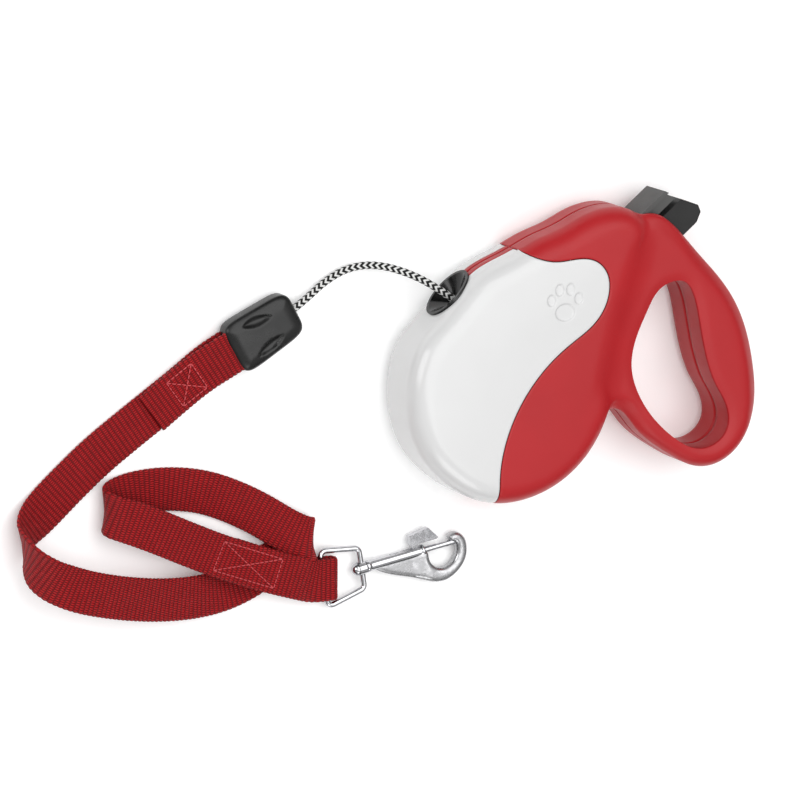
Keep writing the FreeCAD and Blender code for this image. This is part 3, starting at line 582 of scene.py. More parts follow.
@dataclass
class Line:
    """A line in the plan that answers how far a place is from it."""

    points: list[Vector]
    closed: bool
    tree: KDTree = field(init=False)

    def __post_init__(self) -> None:
        """Build the search tree."""
        self.tree = KDTree(len(self.points))
        for number, point in enumerate(self.points):
            self.tree.insert(point, number)
        self.tree.balance()

    def side(self, place: Vector) -> float:
        """Signed distance from the line.

        Args:
            place: A place in the plan.

        Returns:
            Distance, positive to the left of the line's direction.
        """
        flat = Vector((place[0], place[1], 0))
        _, number, _ = self.tree.find(flat)
        best = 1e9
        sign = 1.0
        count = len(self.points)
        for first in (number - 1, number):
            second = first + 1
            if self.closed:
                first %= count
                second %= count
            elif first < 0 or second >= count:
                continue
            start = self.points[first]
            along = self.points[second] - start
            share = min(max((flat - start).dot(along) / along.length_squared, 0), 1)
            gap = flat - start - along * share
            if gap.length < best - 1e-7:
                best = gap.length
                sign = 1.0 if along.x * (flat.y - start.y) - along.y * (flat.x - start.x) > 0 else -1.0
        return best * sign


def ease(share: float) -> float:
    """Soft step from 0 to 1."""
    held = min(max(share, 0.0), 1.0)
    return held * held * (3 - 2 * held)


def sweep(name: str, points: Sequence[Vector], section: Callable[[int, float], Sequence[tuple]],
          frames: Sequence[tuple[Vector, Vector]], material: bpy.types.Material,
          body: str) -> bpy.types.Object:
    """Carry a section along a line.

    Args:
        name: Name of the object.
        points: Points of the line in millimetres.
        section: Gives the closed section at a point number and length along, as
            (sideways, outwards, place across) entries.
        frames: Sideways and outwards vectors at each point.
        material: Its finish.
        body: Body that it rides on.

    Returns:
        The new object, with a map of places along and across.
    """
    verts = []
    lengths = []
    marks = []
    travelled = 0.0
    for number, point in enumerate(points):
        if number:
            travelled += (point - points[number - 1]).length
        lengths.append(travelled)
        outline = section(number, travelled)
        marks.append([entry[2] for entry in outline])
        across, outwards = frames[number]
        verts.extend(point + across * entry[0] + outwards * entry[1] for entry in outline)
    size = len(marks[0])
    faces = []
    for number in range(len(points) - 1):
        for corner in range(size):
            following = (corner + 1) % size
            faces.append((number * size + corner, number * size + following,
                          (number + 1) * size + following, (number + 1) * size + corner))
    first_cap = len(verts)
    verts.extend([points[0], points[-1]])
    last_ring = (len(points) - 1) * size
    for corner in range(size):
        following = (corner + 1) % size
        faces.append((first_cap, following, corner))
        faces.append((first_cap + 1, last_ring + corner, last_ring + following))
    piece = new_piece(name, verts, faces, material, body)
    layer = piece.data.uv_layers.new(name="strip")
    for polygon in piece.data.polygons:
        rows = [piece.data.loops[index].vertex_index for index in polygon.loop_indices]
        wrap = any(row < first_cap and row % size == size - 1 for row in rows)
        for index, row in zip(polygon.loop_indices, rows):
            if row >= first_cap:
                layer.data[index].uv = (lengths[0 if row == first_cap else -1], 0)
                continue
            mark = marks[row // size][row % size]
            if wrap and row % size == 0:
                mark += marks[0][-1] + (marks[0][-1] - marks[0][-2]) - marks[0][0]
            layer.data[index].uv = (lengths[row // size], mark)
    return piece


def rolling_frames(points: Sequence[Vector]) -> list[tuple[Vector, Vector]]:
    """Frames along a line that turn as little as they can.

    Args:
        points: Points of the line.

    Returns:
        Sideways and outwards vectors at each point.
    """
    frames = []
    side = UP
    for number, point in enumerate(points):
        before = points[max(number - 1, 0)]
        after = points[min(number + 1, len(points) - 1)]
        along = (after - before).normalized()
        side = (side - along * side.dot(along)).normalized()
        frames.append((side, along.cross(side)))
    return frames


# ---------------------------------------------------------------- the casing


@dataclass
class Plan:
    """The casing's plan and how thick it is at any place."""

    spacing: float = 1.2
    rim: float = 9.5
    wall: float = 8.8
    grip_half: float = 13.0
    crown: float = 0.5
    blend: float = 3.0
    outer: Line = field(init=False)
    hole: Line = field(init=False)
    drum: Line = field(init=False)
    edge: Line = field(init=False)

    def __post_init__(self) -> None:
        """Join the drum and the hoop into one outline."""
        drum = smooth_line(DRUM_PLAN, True)
        grip = smooth_line(GRIP_PLAN, True)
        self.drum = Line(drum, True)
        hoop = Line(grip, True)
        joint = spaced(self.run(drum, hoop) + self.run(grip, self.drum), self.spacing, True)
        self.outer = Line(self.eased(joint), True)
        self.hole = Line(spaced(smooth_line(HOLE_PLAN, True), self.spacing, True), True)
        self.edge = Line(smooth_line(COVER_EDGE, False, 0.8), False)

    @staticmethod
    def run(loop: list[Vector], other: Line) -> list[Vector]:
        """The one stretch of a loop that lies outside another loop, in order.

        Args:
            loop: Points of the loop.
            other: The other loop.

        Returns:
            The points outside, in order.
        """
        outside = [other.side(point) < 0 for point in loop]
        start = next(n for n in range(len(loop)) if outside[n] and not outside[n - 1])
        return [loop[(start + n) % len(loop)] for n in range(len(loop))
                if outside[(start + n) % len(loop)]]

    @staticmethod
    def eased(points: list[Vector]) -> list[Vector]:
        """The outline with its two inner corners softened.

        Args:
            points: Points of the outline.

        Returns:
            The softened points.
        """
        for _ in range(14):
            moved = []
            for n, point in enumerate(points):
                middle = (points[n - 1] + points[(n + 1) % len(points)]) / 2
                sharp = (middle - point).length > 0.06
                moved.append(point.lerp(middle, 0.6) if sharp else point)
            points = moved
        return points

    @staticmethod
    def rise(depth: float, reach: float) -> float:
        """Rounded rise from 0 at the rim to 1 at a reach inside it."""
        u = 1 - min(max(depth / reach, 0), 1)
        return max(1 - u ** 1.9, 0) ** 0.53

    def half_thickness(self, place: Vector) -> float:
        """Half of the casing's thickness at a place.

        Args:
            place: A place in the plan.

        Returns:
            Height of the skin above the parting plane.
        """
        outer = max(self.outer.side(place), 0)
        hole = max(self.hole.side(place), 0)
        drum = self.drum.side(place)
        depth = max(drum, 0)
        crown = self.crown * (1 - min(depth / 34, 1)) ** 2
        rim = self.wall + (MID - self.wall) * self.rise(depth, self.rim) - crown
        shoulder = self.grip_half + (MID - self.grip_half) * ease((drum + 3) / 20)
        inside = ease((outer - depth) / 7)
        full = rim + (shoulder - rim) * inside
        slim = min(max((-28 - place.y) / 18, 0), 1) if place.x > 5 else 0
        near_button = math.exp(-((place.x - 42) ** 2 + (place.y - 55) ** 2) / 520.0)
        drop = 6.0 * (1 - near_button) + 2.6 * near_button
        reach = (11 - 6 * slim) * (1 - near_button) + 4 * near_button
        grip = self.grip_half - drop * (1 - self.rise(outer, reach)) - 3 * (1 - self.rise(hole, 5.0))
        close = max(self.blend - abs(full - grip), 0) / self.blend
        return max(full, grip) + close * close * self.blend / 4


@dataclass
class Skin:
    """Points and faces of one moulding, gathered by name so that they are shared."""

    verts: list[Vector] = field(default_factory=list)
    faces: list[tuple[int, ...]] = field(default_factory=list)
    names: dict[tuple, int] = field(default_factory=dict)

    def point(self, name: tuple, place: Vector) -> int:
        """Number of a named point, made on first use.

        Args:
            name: What the point is called.
            place: Where it goes if it is new.

        Returns:
            Its number.
        """
        if name not in self.names:
            self.names[name] = len(self.verts)
            self.verts.append(place)
        return self.names[name]

    def take(self, other: "Skin", half: Half, middle: float = MID) -> None:
        """Add another skin, turned over about a middle level for the lower half.

        Args:
            other: The skin to add.
            half: Which half it is for.
            middle: Level that it turns over about.
        """
        start = len(self.verts)
        for place in other.verts:
            level = place.z if half is Half.UPPER else 2 * middle - place.z
            self.verts.append(Vector((place.x, place.y, level)))
        for face in other.faces:
            order = face if half is Half.UPPER else face[::-1]
            self.faces.append(tuple(start + number for number in order))


@dataclass
class Casing:
    """The two casing halves and the nose cover, with their parting lines."""

    gap: float = 0.2
    bevel: float = 0.55
    wall_rows: int = 7
    spine_half: float = 4.0
    slot_level: float = 27.1
    slot_rear: float = -9.4
    slot_front: float = 14.8
    paw_depth: float = 0.6
    cover_skin: float = 1.8
    shell_skin: float = 2.2
    plan: Plan = field(default_factory=Plan)
    mesh: tuple = field(init=False)
    tops: list[float] = field(init=False)

    def sink(self, place: Vector) -> float:
        """How far the skin falls at the rounded edges beside the cover's gap.

        Args:
            place: A place in the plan.

        Returns:
            The fall in millimetres.
        """
        away = abs(self.plan.edge.side(place)) - self.gap
        u = 1 - min(max(away / self.bevel, 0), 1)
        return 0.3 * u * u

    @staticmethod
    def paw(place: Vector) -> float:
        """Depth of the paw mark at a place, from 0 to 1.

        Args:
            place: A place in the plan.

        Returns:
            The share of the full depth.
        """
        pads = [(0, -4.5, 5.2, 4.2), (-7, 1.5, 2.3, 2.9), (-2.8, 6, 2.3, 3.0),
                (2.8, 6, 2.3, 3.0), (7, 1.5, 2.3, 2.9)]
        best = 0.0
        for shift_x, shift_y, wide, tall in pads:
            x = (place.x - PAW_CENTRE[0] - shift_x) / wide
            y = (place.y - PAW_CENTRE[1] - shift_y) / tall
            reach = (1 - math.hypot(x, y)) * min(wide, tall)
            best = max(best, ease(reach / 0.45))
        return best

    def region(self, place: Vector) -> Region | None:
        """Moulding at a place in the plan, or None in the gap between them.

        Args:
            place: A place in the plan.

        Returns:
            The moulding, or None.
        """
        side = self.plan.edge.side(place)
        if abs(side) < self.gap * 0.98:
            return None
        return Region.SHELL if side > 0 else Region.COVER

    def boundary(self, line: Line) -> list[Vector]:
        """A loop's points with extra ones where the cover's edge crosses it.

        Args:
            line: The outer outline or the hole.

        Returns:
            The loop's points in order.
        """
        made = []
        points = line.points
        steps = [-self.gap - self.bevel, -self.gap - self.bevel / 2, -self.gap, self.gap,
                 self.gap + self.bevel / 2, self.gap + self.bevel]
        for number, point in enumerate(points):
            following = points[(number + 1) % len(points)]
            first = self.plan.edge.side(point)
            second = self.plan.edge.side(following)
            if abs(first) > self.gap + self.bevel + 0.3 or line is self.plan.hole:
                made.append(point)
            if first * second < 0 and abs(first) < 4 and abs(second) < 4:
                along = (following - point).normalized()
                cross = point + (following - point) * (first / (first - second))
                made.extend(cross + along * step for step in steps)
        return made

    def gap_lines(self) -> list[list[Vector]]:
        """The gap's two sides across the face of the casing.

        Returns:
            Points of each side.
        """
        points = self.plan.edge.points
        sides = []
        for sign in (-1, 1):
            line = []
            for number in range(1, len(points) - 1):
                along = (points[number + 1] - points[number - 1]).normalized()
                place = points[number] + UP.cross(along) * sign * self.gap
                if self.plan.outer.side(place) > 0.45:
                    line.append(place)
            sides.append(line)
        return sides

    def loose_points(self, loops: list[list[Vector]]) -> list[Vector]:
        """Places inside the plan that the face's mesh goes through.

        Args:
            loops: Points of the outer outline and of the hole.

        Returns:
            The places.
        """
        made = []
        for loop, line in zip(loops, (self.plan.outer, self.plan.hole)):
            for depth in (0.06, 0.2, 0.45, 0.85, 1.4, 2.1, 3.0, 4.1, 5.4, 6.9, 8.6):
                for number, point in enumerate(loop):
                    along = (loop[(number + 1) % len(loop)] - loop[number - 1]).normalized()
                    place = point + UP.cross(along) * depth
                    near = min(self.plan.outer.side(place), self.plan.hole.side(place))
                    if near > 0.9 * depth and self.clear_of_edge(place):
                        made.append(place)
        for number in range(1, len(self.plan.edge.points) - 1):
            points = self.plan.edge.points
            along = (points[number + 1] - points[number - 1]).normalized()
            for step in (0.22, 0.55, 1.1):
                for sign in (-1, 1):
                    place = points[number] + UP.cross(along) * sign * (self.gap + step)
                    if self.plan.outer.side(place) > 0.5:
                        made.append(place)
        pitch = 1.9
        for row in range(-40, 42):
            for column in range(-52, 54):
                place = Vector(((column + 0.5 * (row % 2)) * pitch, row * pitch * 0.866, 0))
                near = min(self.plan.outer.side(place), self.plan.hole.side(place))
                if near > 9.4 and self.clear_of_edge(place, 2.0):
                    made.append(place)
        for row in range(-PAW_REACH, PAW_REACH + 1):
            for column in range(-PAW_REACH, PAW_REACH + 1):
                place = Vector((PAW_CENTRE[0] + column * PAW_PITCH, PAW_CENTRE[1] + row * PAW_PITCH, 0))
                made.append(place + Vector((0.013 * (row % 3), 0.017 * (column % 2), 0)))
        return made

    def clear_of_edge(self, place: Vector, reach: float = 1.2) -> bool:
        """Whether a place keeps off the cover's edge.

        Args:
            place: A place in the plan.
            reach: Least distance to the edge.

        Returns:
            True if it does.
        """
        return abs(self.plan.edge.side(place)) > reach

    def face_mesh(self) -> tuple[list[Vector], list[tuple[int, ...]], list[list[int]], list[list[Vector]]]:
        """Mesh of the plan, split along the gap.

        Returns:
            Places, triangles, the places' numbers along each loop, and the loops.
        """
        loops = [self.boundary(self.plan.outer), self.boundary(self.plan.hole)]
        places = []
        edges = []
        for loop in loops:
            start = len(places)
            places.extend(loop)
            edges.extend((start + n, start + (n + 1) % len(loop)) for n in range(len(loop)))
        for line in self.gap_lines():
            start = len(places)
            ends = []
            for end in (line[0], line[-1]):
                ends.append(min(range(len(loops[0])), key=lambda n: (loops[0][n] - end).length))
            places.extend(line)
            edges.extend((start + n, start + n + 1) for n in range(len(line) - 1))
            edges.append((ends[0], start))
            edges.append((start + len(line) - 1, ends[1]))
        places.extend(self.loose_points(loops))
        flat, _, triangles, origin, _, _ = delaunay_2d_cdt(
            [Vector((place.x, place.y)) for place in places], edges, [], 0, 1e-5)
        numbers = {}
        for made, sources in enumerate(origin):
            for source in sources:
                numbers[source] = made
        rings = [[numbers[n] for n in range(len(loops[0]))],
                 [numbers[len(loops[0]) + n] for n in range(len(loops[1]))]]
        return [Vector((place[0], place[1], 0)) for place in flat], triangles, rings, loops

    def in_slot(self, place: Vector) -> bool:
        """Whether a place on the outline is at the button's well.

        Args:
            place: A place in the plan.

        Returns:
            True if it is.
        """
        turn = math.radians(PLUNGER_ANGLE)
        x = place.x - REEL_CENTRE[0]
        y = place.y - REEL_CENTRE[1]
        out = x * math.cos(turn) + y * math.sin(turn)
        front = -x * math.sin(turn) + y * math.cos(turn)
        return out > 80 and self.slot_rear < front < self.slot_front

    def in_spine(self, place: Vector) -> bool:
        """Whether a place on the outline has the red strip between the covers."""
        return place.x > -62 and place.y > 34 and self.plan.edge.side(place) < -self.gap * 0.9

    def in_outlet(self, place: Vector) -> bool:
        """Whether a point of the skin lies inside the outlet's oval.

        Args:
            place: A point of the skin.

        Returns:
            True if it does.
        """
        turn = math.radians(OUTLET_ANGLE)
        x = place.x - OUTLET_CENTRE[0]
        y = place.y - OUTLET_CENTRE[1]
        out = x * math.cos(turn) + y * math.sin(turn)
        side = -x * math.sin(turn) + y * math.cos(turn)
        return abs(out) < 12 and math.hypot(side / 12.4, (place.z - MID) / 9.9) < 1

    def wall_levels(self, place: Vector, top: float, region: Region) -> list[tuple[float, float]]:
        """Levels and insets of the side wall's rows below its top.

        Args:
            place: A place in the plan.
            top: Level of the wall's top.
            region: Moulding that the wall belongs to.

        Returns:
            Level and inset of each row, lowest first.
        """
        spine = self.in_spine(place)
        if region is Region.SHELL and self.in_slot(place):
            rows = [(self.slot_level, 0.15), (self.slot_level + 0.2, 0.0)]
            low = self.slot_level + 0.2
        elif region is Region.SHELL:
            rows = [(MID + 0.1, 0.9), (MID + 0.28, 0.7), (MID + 0.5, 0.0)]
            low = MID + 0.5
        elif spine:
            base = MID + self.spine_half + self.gap
            rows = [(base, 0.25), (base + 0.15, 0.07), (base + 0.4, 0.0)]
            low = base + 0.4
        else:
            rows = [(MID, 0.0), (MID + 0.14, 0.0), (MID + 0.4, 0.0)]
            low = MID + 0.4
        while len(rows) < 3:
            rows.append((low + 0.05, 0.0))
        for step in range(1, self.wall_rows):
            rows.append((low + (top - low) * step / self.wall_rows, 0.0))
        return rows

    def skins(self, half: Half) -> dict[Region, Skin]:
        """Upper or lower skins of the shell and the cover.

        Args:
            half: Which half to make.

        Returns:
            One skin per moulding.
        """
        places, triangles, rings, loops = self.mesh
        made = {Region.SHELL: Skin(), Region.COVER: Skin()}
        tops = self.tops
        for triangle in triangles:
            centre = sum((places[n] for n in triangle), Vector()) / len(triangle)
            if self.plan.outer.side(centre) <= 0 or self.plan.hole.side(centre) <= 0:
                continue
            region = self.region(centre)
            if region is None:
                continue
            skin = made[region]
            numbers = []
            for n in triangle:
                level = MID + tops[n]
                if half is Half.UPPER and region is Region.COVER:
                    level -= self.paw_depth * self.paw(places[n])
                numbers.append(skin.point(("top", n), Vector((places[n].x, places[n].y, level))))
            skin.faces.append(tuple(numbers))
        for ring, loop in zip(rings, loops):
            for number in range(len(ring)):
                self.wall_panel(made, ring, loop, number)
        return made

    def wall_panel(self, made: dict[Region, Skin], ring: list[int], loop: list[Vector], number: int) -> None:
        """One upright panel of the side wall, between two points of a loop.

        Args:
            made: Skins that take the panel.
            ring: Numbers of the loop's points.
            loop: Points of the loop.
            number: Which point it starts from.
        """
        following = (number + 1) % len(ring)
        middle = (loop[number] + loop[following]) / 2
        region = self.region(middle)
        if region is None:
            return
        columns = []
        for n in (number, following):
            place = loop[n]
            inward = UP.cross((loop[(n + 1) % len(loop)] - loop[n - 1]).normalized())
            sink = self.sink(place)
            top = MID + self.tops[ring[n]]
            column = []
            for row, (level, inset) in enumerate(self.wall_levels(middle, top, region)):
                point = place + inward * (inset + sink) + UP * level
                key = ("wall", ring[n], row, round(level, 3))
                column.append(made[region].point(key, point))
            column.append(made[region].point(("top", ring[n]), Vector((place.x, place.y, top))))
            columns.append(column)
        left, right = columns
        for row in range(len(left) - 1):
            made[region].faces.append((left[row], right[row], right[row + 1], left[row + 1]))
        if self.in_spine(middle) and region is Region.COVER:
            self.spine_panel(made[Region.SHELL], ring, loop, number)

    def spine_panel(self, skin: Skin, ring: list[int], loop: list[Vector], number: int) -> None:
        """One panel of the strip that shows between the covers.

        Args:
            skin: Skin that takes the panel.
            ring: Numbers of the loop's points.
            loop: Points of the loop.
            number: Which point it starts from.
        """
        rows = [(0.1, 0.9), (0.28, 0.7), (0.5, 0.0), (1.6, 0.0), (2.8, 0.0),
                (self.spine_half - 0.35, 0.0), (self.spine_half - 0.1, 0.08), (self.spine_half, 0.3)]
        columns = []
        for n in (number, (number + 1) % len(ring)):
            inward = UP.cross((loop[(n + 1) % len(loop)] - loop[n - 1]).normalized())
            column = []
            for row, (level, inset) in enumerate(rows):
                point = loop[n] + inward * inset + UP * (MID + level)
                column.append(skin.point(("spine", ring[n], row), point))
            columns.append(column)
        left, right = columns
        for row in range(len(left) - 1):
            skin.faces.append((left[row], right[row], right[row + 1], left[row + 1]))

    def open_outlet(self, skin: Skin) -> None:
        """Take out the faces behind the cord's outlet.

        Args:
            skin: The skin to open.
        """
        kept = []
        for face in skin.faces:
            centre = sum((skin.verts[n] for n in face), Vector()) / len(face)
            if not self.in_outlet(centre):
                kept.append(face)
        skin.faces = kept

    def finish_piece(self, name: str, skin: Skin, thickness: float, material: bpy.types.Material,
                     node: str) -> bpy.types.Object:
        """Turn a skin into a moulding with a wall thickness.

        Args:
            name: Name of the object.
            skin: Its outer skin.
            thickness: Wall thickness in millimetres.
            material: Its finish.
            node: CAD node that it stands for.

        Returns:
            The new object.
        """
        self.open_outlet(skin)
        piece = new_piece(name, skin.verts, skin.faces, material, "casing", weld=True)
        wall = piece.modifiers.new("wall", "SOLIDIFY")
        wall.thickness = thickness * MM
        wall.offset = -1
        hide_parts(node)
        LOG.info("%s: %d faces", name, len(skin.faces))
        return piece

    def build(self, red: bpy.types.Material, white: bpy.types.Material) -> None:
        """Build the three mouldings.

        Args:
            red: Finish of the casing halves.
            white: Finish of the nose cover.
        """
        self.mesh = self.face_mesh()
        places = self.mesh[0]
        self.tops = [self.plan.half_thickness(place) - self.sink(place) for place in places]
        cover = Skin()
        for half, name, node in ((Half.UPPER, "left_moulding", "casing_left"),
                                 (Half.LOWER, "right_moulding", "casing_right")):
            skins = self.skins(half)
            shell = Skin()
            shell.take(skins[Region.SHELL], half)
            piece = self.finish_piece(name, shell, self.shell_skin, red, node)
            cover.take(skins[Region.COVER], half)
        piece = self.finish_piece("nose_cover", cover, self.cover_skin, white, "front_cover")


# ---------------------------------------------------------------- cord and webbing


@dataclass
class Cord:
    """The free braided cord between the outlet and the connector."""

    radius: float = 1.75
    sides: int = 40
    ridge_pitch: float = 2.3

    def section(self, number: int, along: float) -> list[tuple]:
        """Round section with the braid's small ridges.

        Args:
            number: Number of the point along the line.
            along: Length along the line.

        Returns:
            Sideways, outwards and place around, for each corner.
        """
        made = []
        for side in range(self.sides):
            angle = 2 * math.pi * side / self.sides
            share = side / self.sides
            zig = abs((share * 4 + 0.5) % 1 - 0.5)
            ridge = abs(math.sin(2 * math.pi * (along / self.ridge_pitch + zig * 1.1)))
            radius = self.radius * (0.965 + 0.035 * ridge)
            made.append((math.cos(angle) * radius, math.sin(angle) * radius, share))
        return made

    def build(self, material: bpy.types.Material, block: "Connector") -> None:
        """Args:
            material: Its finish.
            block: The connector on its end, already built; not used.
        """
        points = spaced(spline_points("cord_line", [Vector(place) for place in CORD_ROUTE], 24), 0.3)
        piece = sweep("braided_cord", points, self.section, rolling_frames(points), material, "casing")
        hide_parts("cord")


@dataclass
class Webbing:
    """The flat webbing between the connector and the hook's ring."""

    half_width: float = 10.0
    half_thickness: float = 1.0
    row: float = 2.3
    columns: int = 20
    points: list[Vector] = field(default_factory=list)
    frames: list[tuple[Vector, Vector]] = field(default_factory=list)

    def section(self, number: int, along: float) -> list[tuple]:
        """Flat section with rows of floats and a knobbly selvedge.

        Args:
            number: Number of the point along the line.
            along: Length along the line.

        Returns:
            Sideways, outwards and place across, for each corner.
        """
        rib = abs(math.sin(math.pi * along / self.row)) ** 0.6
        parity = math.copysign(math.pi / 4, math.sin(math.pi * along / self.row))
        edge = self.half_width - 0.35 * (1 - rib)
        made = []
        for face in (1, -1):
            for column in range(self.columns + 1):
                share = column / self.columns
                across = (-edge + 2 * edge * share) * face
                taper = min(1, (1 - abs(2 * share - 1)) * 8 + 0.25) ** 0.5
                weave = abs(math.sin(math.pi * across / 1.05 + parity)) ** 0.5
                height = (self.half_thickness - 0.2 + 0.2 * rib * weave) * taper
                made.append((across, height * face, across))
        return made

    def lay_out(self) -> None:
        """Read the band's middle line and its face direction from two splines."""
        middles = [Vector(entry[:3]) for entry in STRAP_ROUTE]
        lifted = []
        for number, entry in enumerate(STRAP_ROUTE):
            before = middles[max(number - 1, 0)]
            after = middles[min(number + 1, len(middles) - 1)]
            along = (after - before).normalized()
            across = along.cross(entry[3]).normalized()
            lifted.append(middles[number] + across * 5)
        line = spline_points("webbing_line", middles, 30)
        beside = spline_points("webbing_side", lifted, 30)
        pairs = [(point, (other - point).normalized()) for point, other in zip(line, beside)]
        dense = spaced(line, 0.46)
        index = 0
        self.points = dense
        for number, point in enumerate(dense):
            while (index < len(line) - 2
                   and (pairs[index + 1][0] - point).length < (pairs[index][0] - point).length):
                index += 1
            before = dense[max(number - 1, 0)]
            after = dense[min(number + 1, len(dense) - 1)]
            along = (after - before).normalized()
            across = pairs[index][1]
            across = (across - along * across.dot(along)).normalized()
            self.frames.append((across, across.cross(along)))

    def nearest(self, place: Sequence[float]) -> int:
        """Number of the band's point that is nearest to a place."""
        target = Vector(place[:3])
        return min(range(len(self.points)), key=lambda n: (self.points[n] - target).length)

    def build(self, material: bpy.types.Material, thread: bpy.types.Material,
              hook: list[bpy.types.Object]) -> None:
        """Args:
            material: Finish of the band.
            thread: Finish of the seams.
            hook: The hook's own pieces, already built; not used.
        """
        self.lay_out()
        piece = sweep("webbing", self.points, self.section, self.frames, material, "casing")
        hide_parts("strap")
        seams = self.seams(thread)

    def stitch_run(self, start: Vector, end: Vector, lift: Vector) -> list[list[Vector]]:
        """Separate stitches along a seam line.

        Args:
            start: Start of the line.
            end: End of the line.
            lift: Direction away from the band.

        Returns:
            The points of each stitch.
        """
        count = max(int(round((end - start).length / 2.4)), 2)
        made = []
        for number in range(count):
            first = start.lerp(end, (number + 0.12) / count)
            last = start.lerp(end, (number + 0.88) / count)
            ends = [first - lift * 0.25, first.lerp(last, 0.18) + lift * 0.22,
                    first.lerp(last, 0.5) + lift * 0.3, first.lerp(last, 0.82) + lift * 0.22,
                    last - lift * 0.25]
            made.append(ends)
        return made

    def seam_lines(self, first: int, last: int, sign: float) -> list[tuple[Vector, Vector, Vector]]:
        """Lines of one box-and-cross seam on the upper face.

        Args:
            first: Number of the band's point at one end.
            last: Number at the other end.
            sign: Which face of the band it is on.

        Returns:
            Start, end and lift of each line.
        """
        corners = []
        reach = self.half_width - 3
        for number, side in ((first, -1), (first, 1), (last, 1), (last, -1)):
            across, outwards = self.frames[number]
            corners.append(self.points[number] + across * side * reach
                           + outwards * sign * (self.half_thickness - 0.05))
        lift = self.frames[(first + last) // 2][1] * sign
        pairs = [(0, 1), (1, 2), (2, 3), (3, 0), (0, 2), (1, 3)]
        return [(corners[a], corners[b], lift) for a, b in pairs]

    def seams(self, thread: bpy.types.Material) -> bpy.types.Object:
        """Build both sewn seams.

        Args:
            thread: Finish of the stitches.

        Returns:
            One object with every stitch.
        """
        lines = []
        for first, last in ((1, 2), (45, 47)):
            start = self.nearest(STRAP_ROUTE[first])
            end = self.nearest(STRAP_ROUTE[last])
            sign = 1.0 if self.frames[start][1].z > 0 else -1.0
            lines.extend(self.seam_lines(start, end, sign))
        verts = []
        faces = []
        for start, end, lift in lines:
            for stitch in self.stitch_run(start, end, lift):
                self.add_stitch(stitch, verts, faces)
        piece = new_piece("seam_stitches", verts, faces, thread, "casing")
        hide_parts("strap_stitching")
        return piece

    @staticmethod
    def add_stitch(stitch: list[Vector], verts: list[Vector], faces: list[tuple[int, ...]]) -> None:
        """Add one arched stitch as a small tube.

        Args:
            stitch: Points of the stitch.
            verts: Points so far.
            faces: Faces so far.
        """
        start = len(verts)
        sides = 6
        for number, (side, lift) in enumerate(rolling_frames(stitch)):
            radius = 0.16 if number in (0, len(stitch) - 1) else 0.27
            for corner in range(sides):
                angle = 2 * math.pi * corner / sides
                verts.append(stitch[number] + (side * math.cos(angle) + lift * math.sin(angle)) * radius)
        for number in range(len(stitch) - 1):
            for corner in range(sides):
                following = (corner + 1) % sides
                base = start + number * sides
                faces.append((base + corner, base + following, base + sides + following,
                              base + sides + corner))


# ---------------------------------------------------------------- small castings


@dataclass
class Cast:
    """A flat casting with rounded edges, from outlines in its own plan."""

    outlines: list[list[tuple[float, float]]]
    half: float
    wall: float
    reach: float
    pitch: float = 0.6
    shape: Callable[[Vector, float], float] | None = None

    def height(self, place: Vector, depth: float) -> float:
        """Height above the middle at a place that far inside the edge."""
        level = self.wall + (self.half - self.wall) * Plan.rise(depth, self.reach)
        return self.shape(place, level) if self.shape else level

    def skin(self) -> Skin:
        """Both faces and the edge as one closed skin.

        Returns:
            The skin, in the casting's own plan, about level 0.
        """
        loops = [spaced(smooth_line(outline, True), self.pitch, True) for outline in self.outlines]
        lines = [Line(loop, True) for loop in loops]
        places: list[Vector] = []
        edges = []
        for loop in loops:
            start = len(places)
            places.extend(loop)
            edges.extend((start + n, start + (n + 1) % len(loop)) for n in range(len(loop)))
        for loop in loops:
            for depth in (0.05, 0.15, 0.35, 0.65, 1.05, 1.6, 2.3, 3.2):
                for n, point in enumerate(loop):
                    along = (loop[(n + 1) % len(loop)] - loop[n - 1]).normalized()
                    place = point + UP.cross(along) * depth
                    if min(line.side(place) for line in lines) > 0.93 * depth:
                        places.append(place)
        wide = [point.x for point in loops[0]]
        tall = [point.y for point in loops[0]]
        step = self.pitch * 1.25
        for row in range(int((max(tall) - min(tall)) / step) + 1):
            for column in range(int((max(wide) - min(wide)) / step) + 1):
                place = Vector((min(wide) + (column + 0.5 * (row % 2)) * step, min(tall) + row * step, 0))
                if min(line.side(place) for line in lines) > 3.5:
                    places.append(place)
        flat, _, triangles, origin, _, _ = delaunay_2d_cdt(
            [Vector((place.x, place.y)) for place in places], edges, [], 0, 1e-5)
        numbers = {source: made for made, sources in enumerate(origin) for source in sources}
        half = Skin()
        for triangle in triangles:
            centre = sum((flat[n] for n in triangle), Vector((0, 0))) / len(triangle)
            if min(line.side(centre) for line in lines) <= 0:
                continue
            half.faces.append(tuple(self.top(half, n, flat, lines) for n in triangle))
        start = 0
        for loop in loops:
            ring = [numbers[start + n] for n in range(len(loop))]
            start += len(loop)
            for n, number in enumerate(ring):
                pair = (number, ring[(n + 1) % len(ring)])
                low = [half.point(("low", k), Vector((flat[k].x, flat[k].y, 0))) for k in pair]
                high = [self.top(half, k, flat, lines) for k in pair]
                half.faces.append((low[0], low[1], high[1], high[0]))
        whole = Skin()
        whole.take(half, Half.UPPER, 0)
        whole.take(half, Half.LOWER, 0)
        return whole

    def top(self, skin: Skin, number: int, flat: Sequence[Vector], lines: list[Line]) -> int:
        """Number of the upper point at a place of the plan.

        Args:
            skin: Skin that holds the point.
            number: Number of the place.
            flat: Places of the plan.
            lines: Outlines of the casting.

        Returns:
            The point's number.
        """
        key = ("top", number)
        if key in skin.names:
            return skin.names[key]
        place = Vector((flat[number].x, flat[number].y, 0))
        depth = max(min(line.side(place) for line in lines), 0)
        return skin.point(key, Vector((place.x, place.y, self.height(place, depth))))


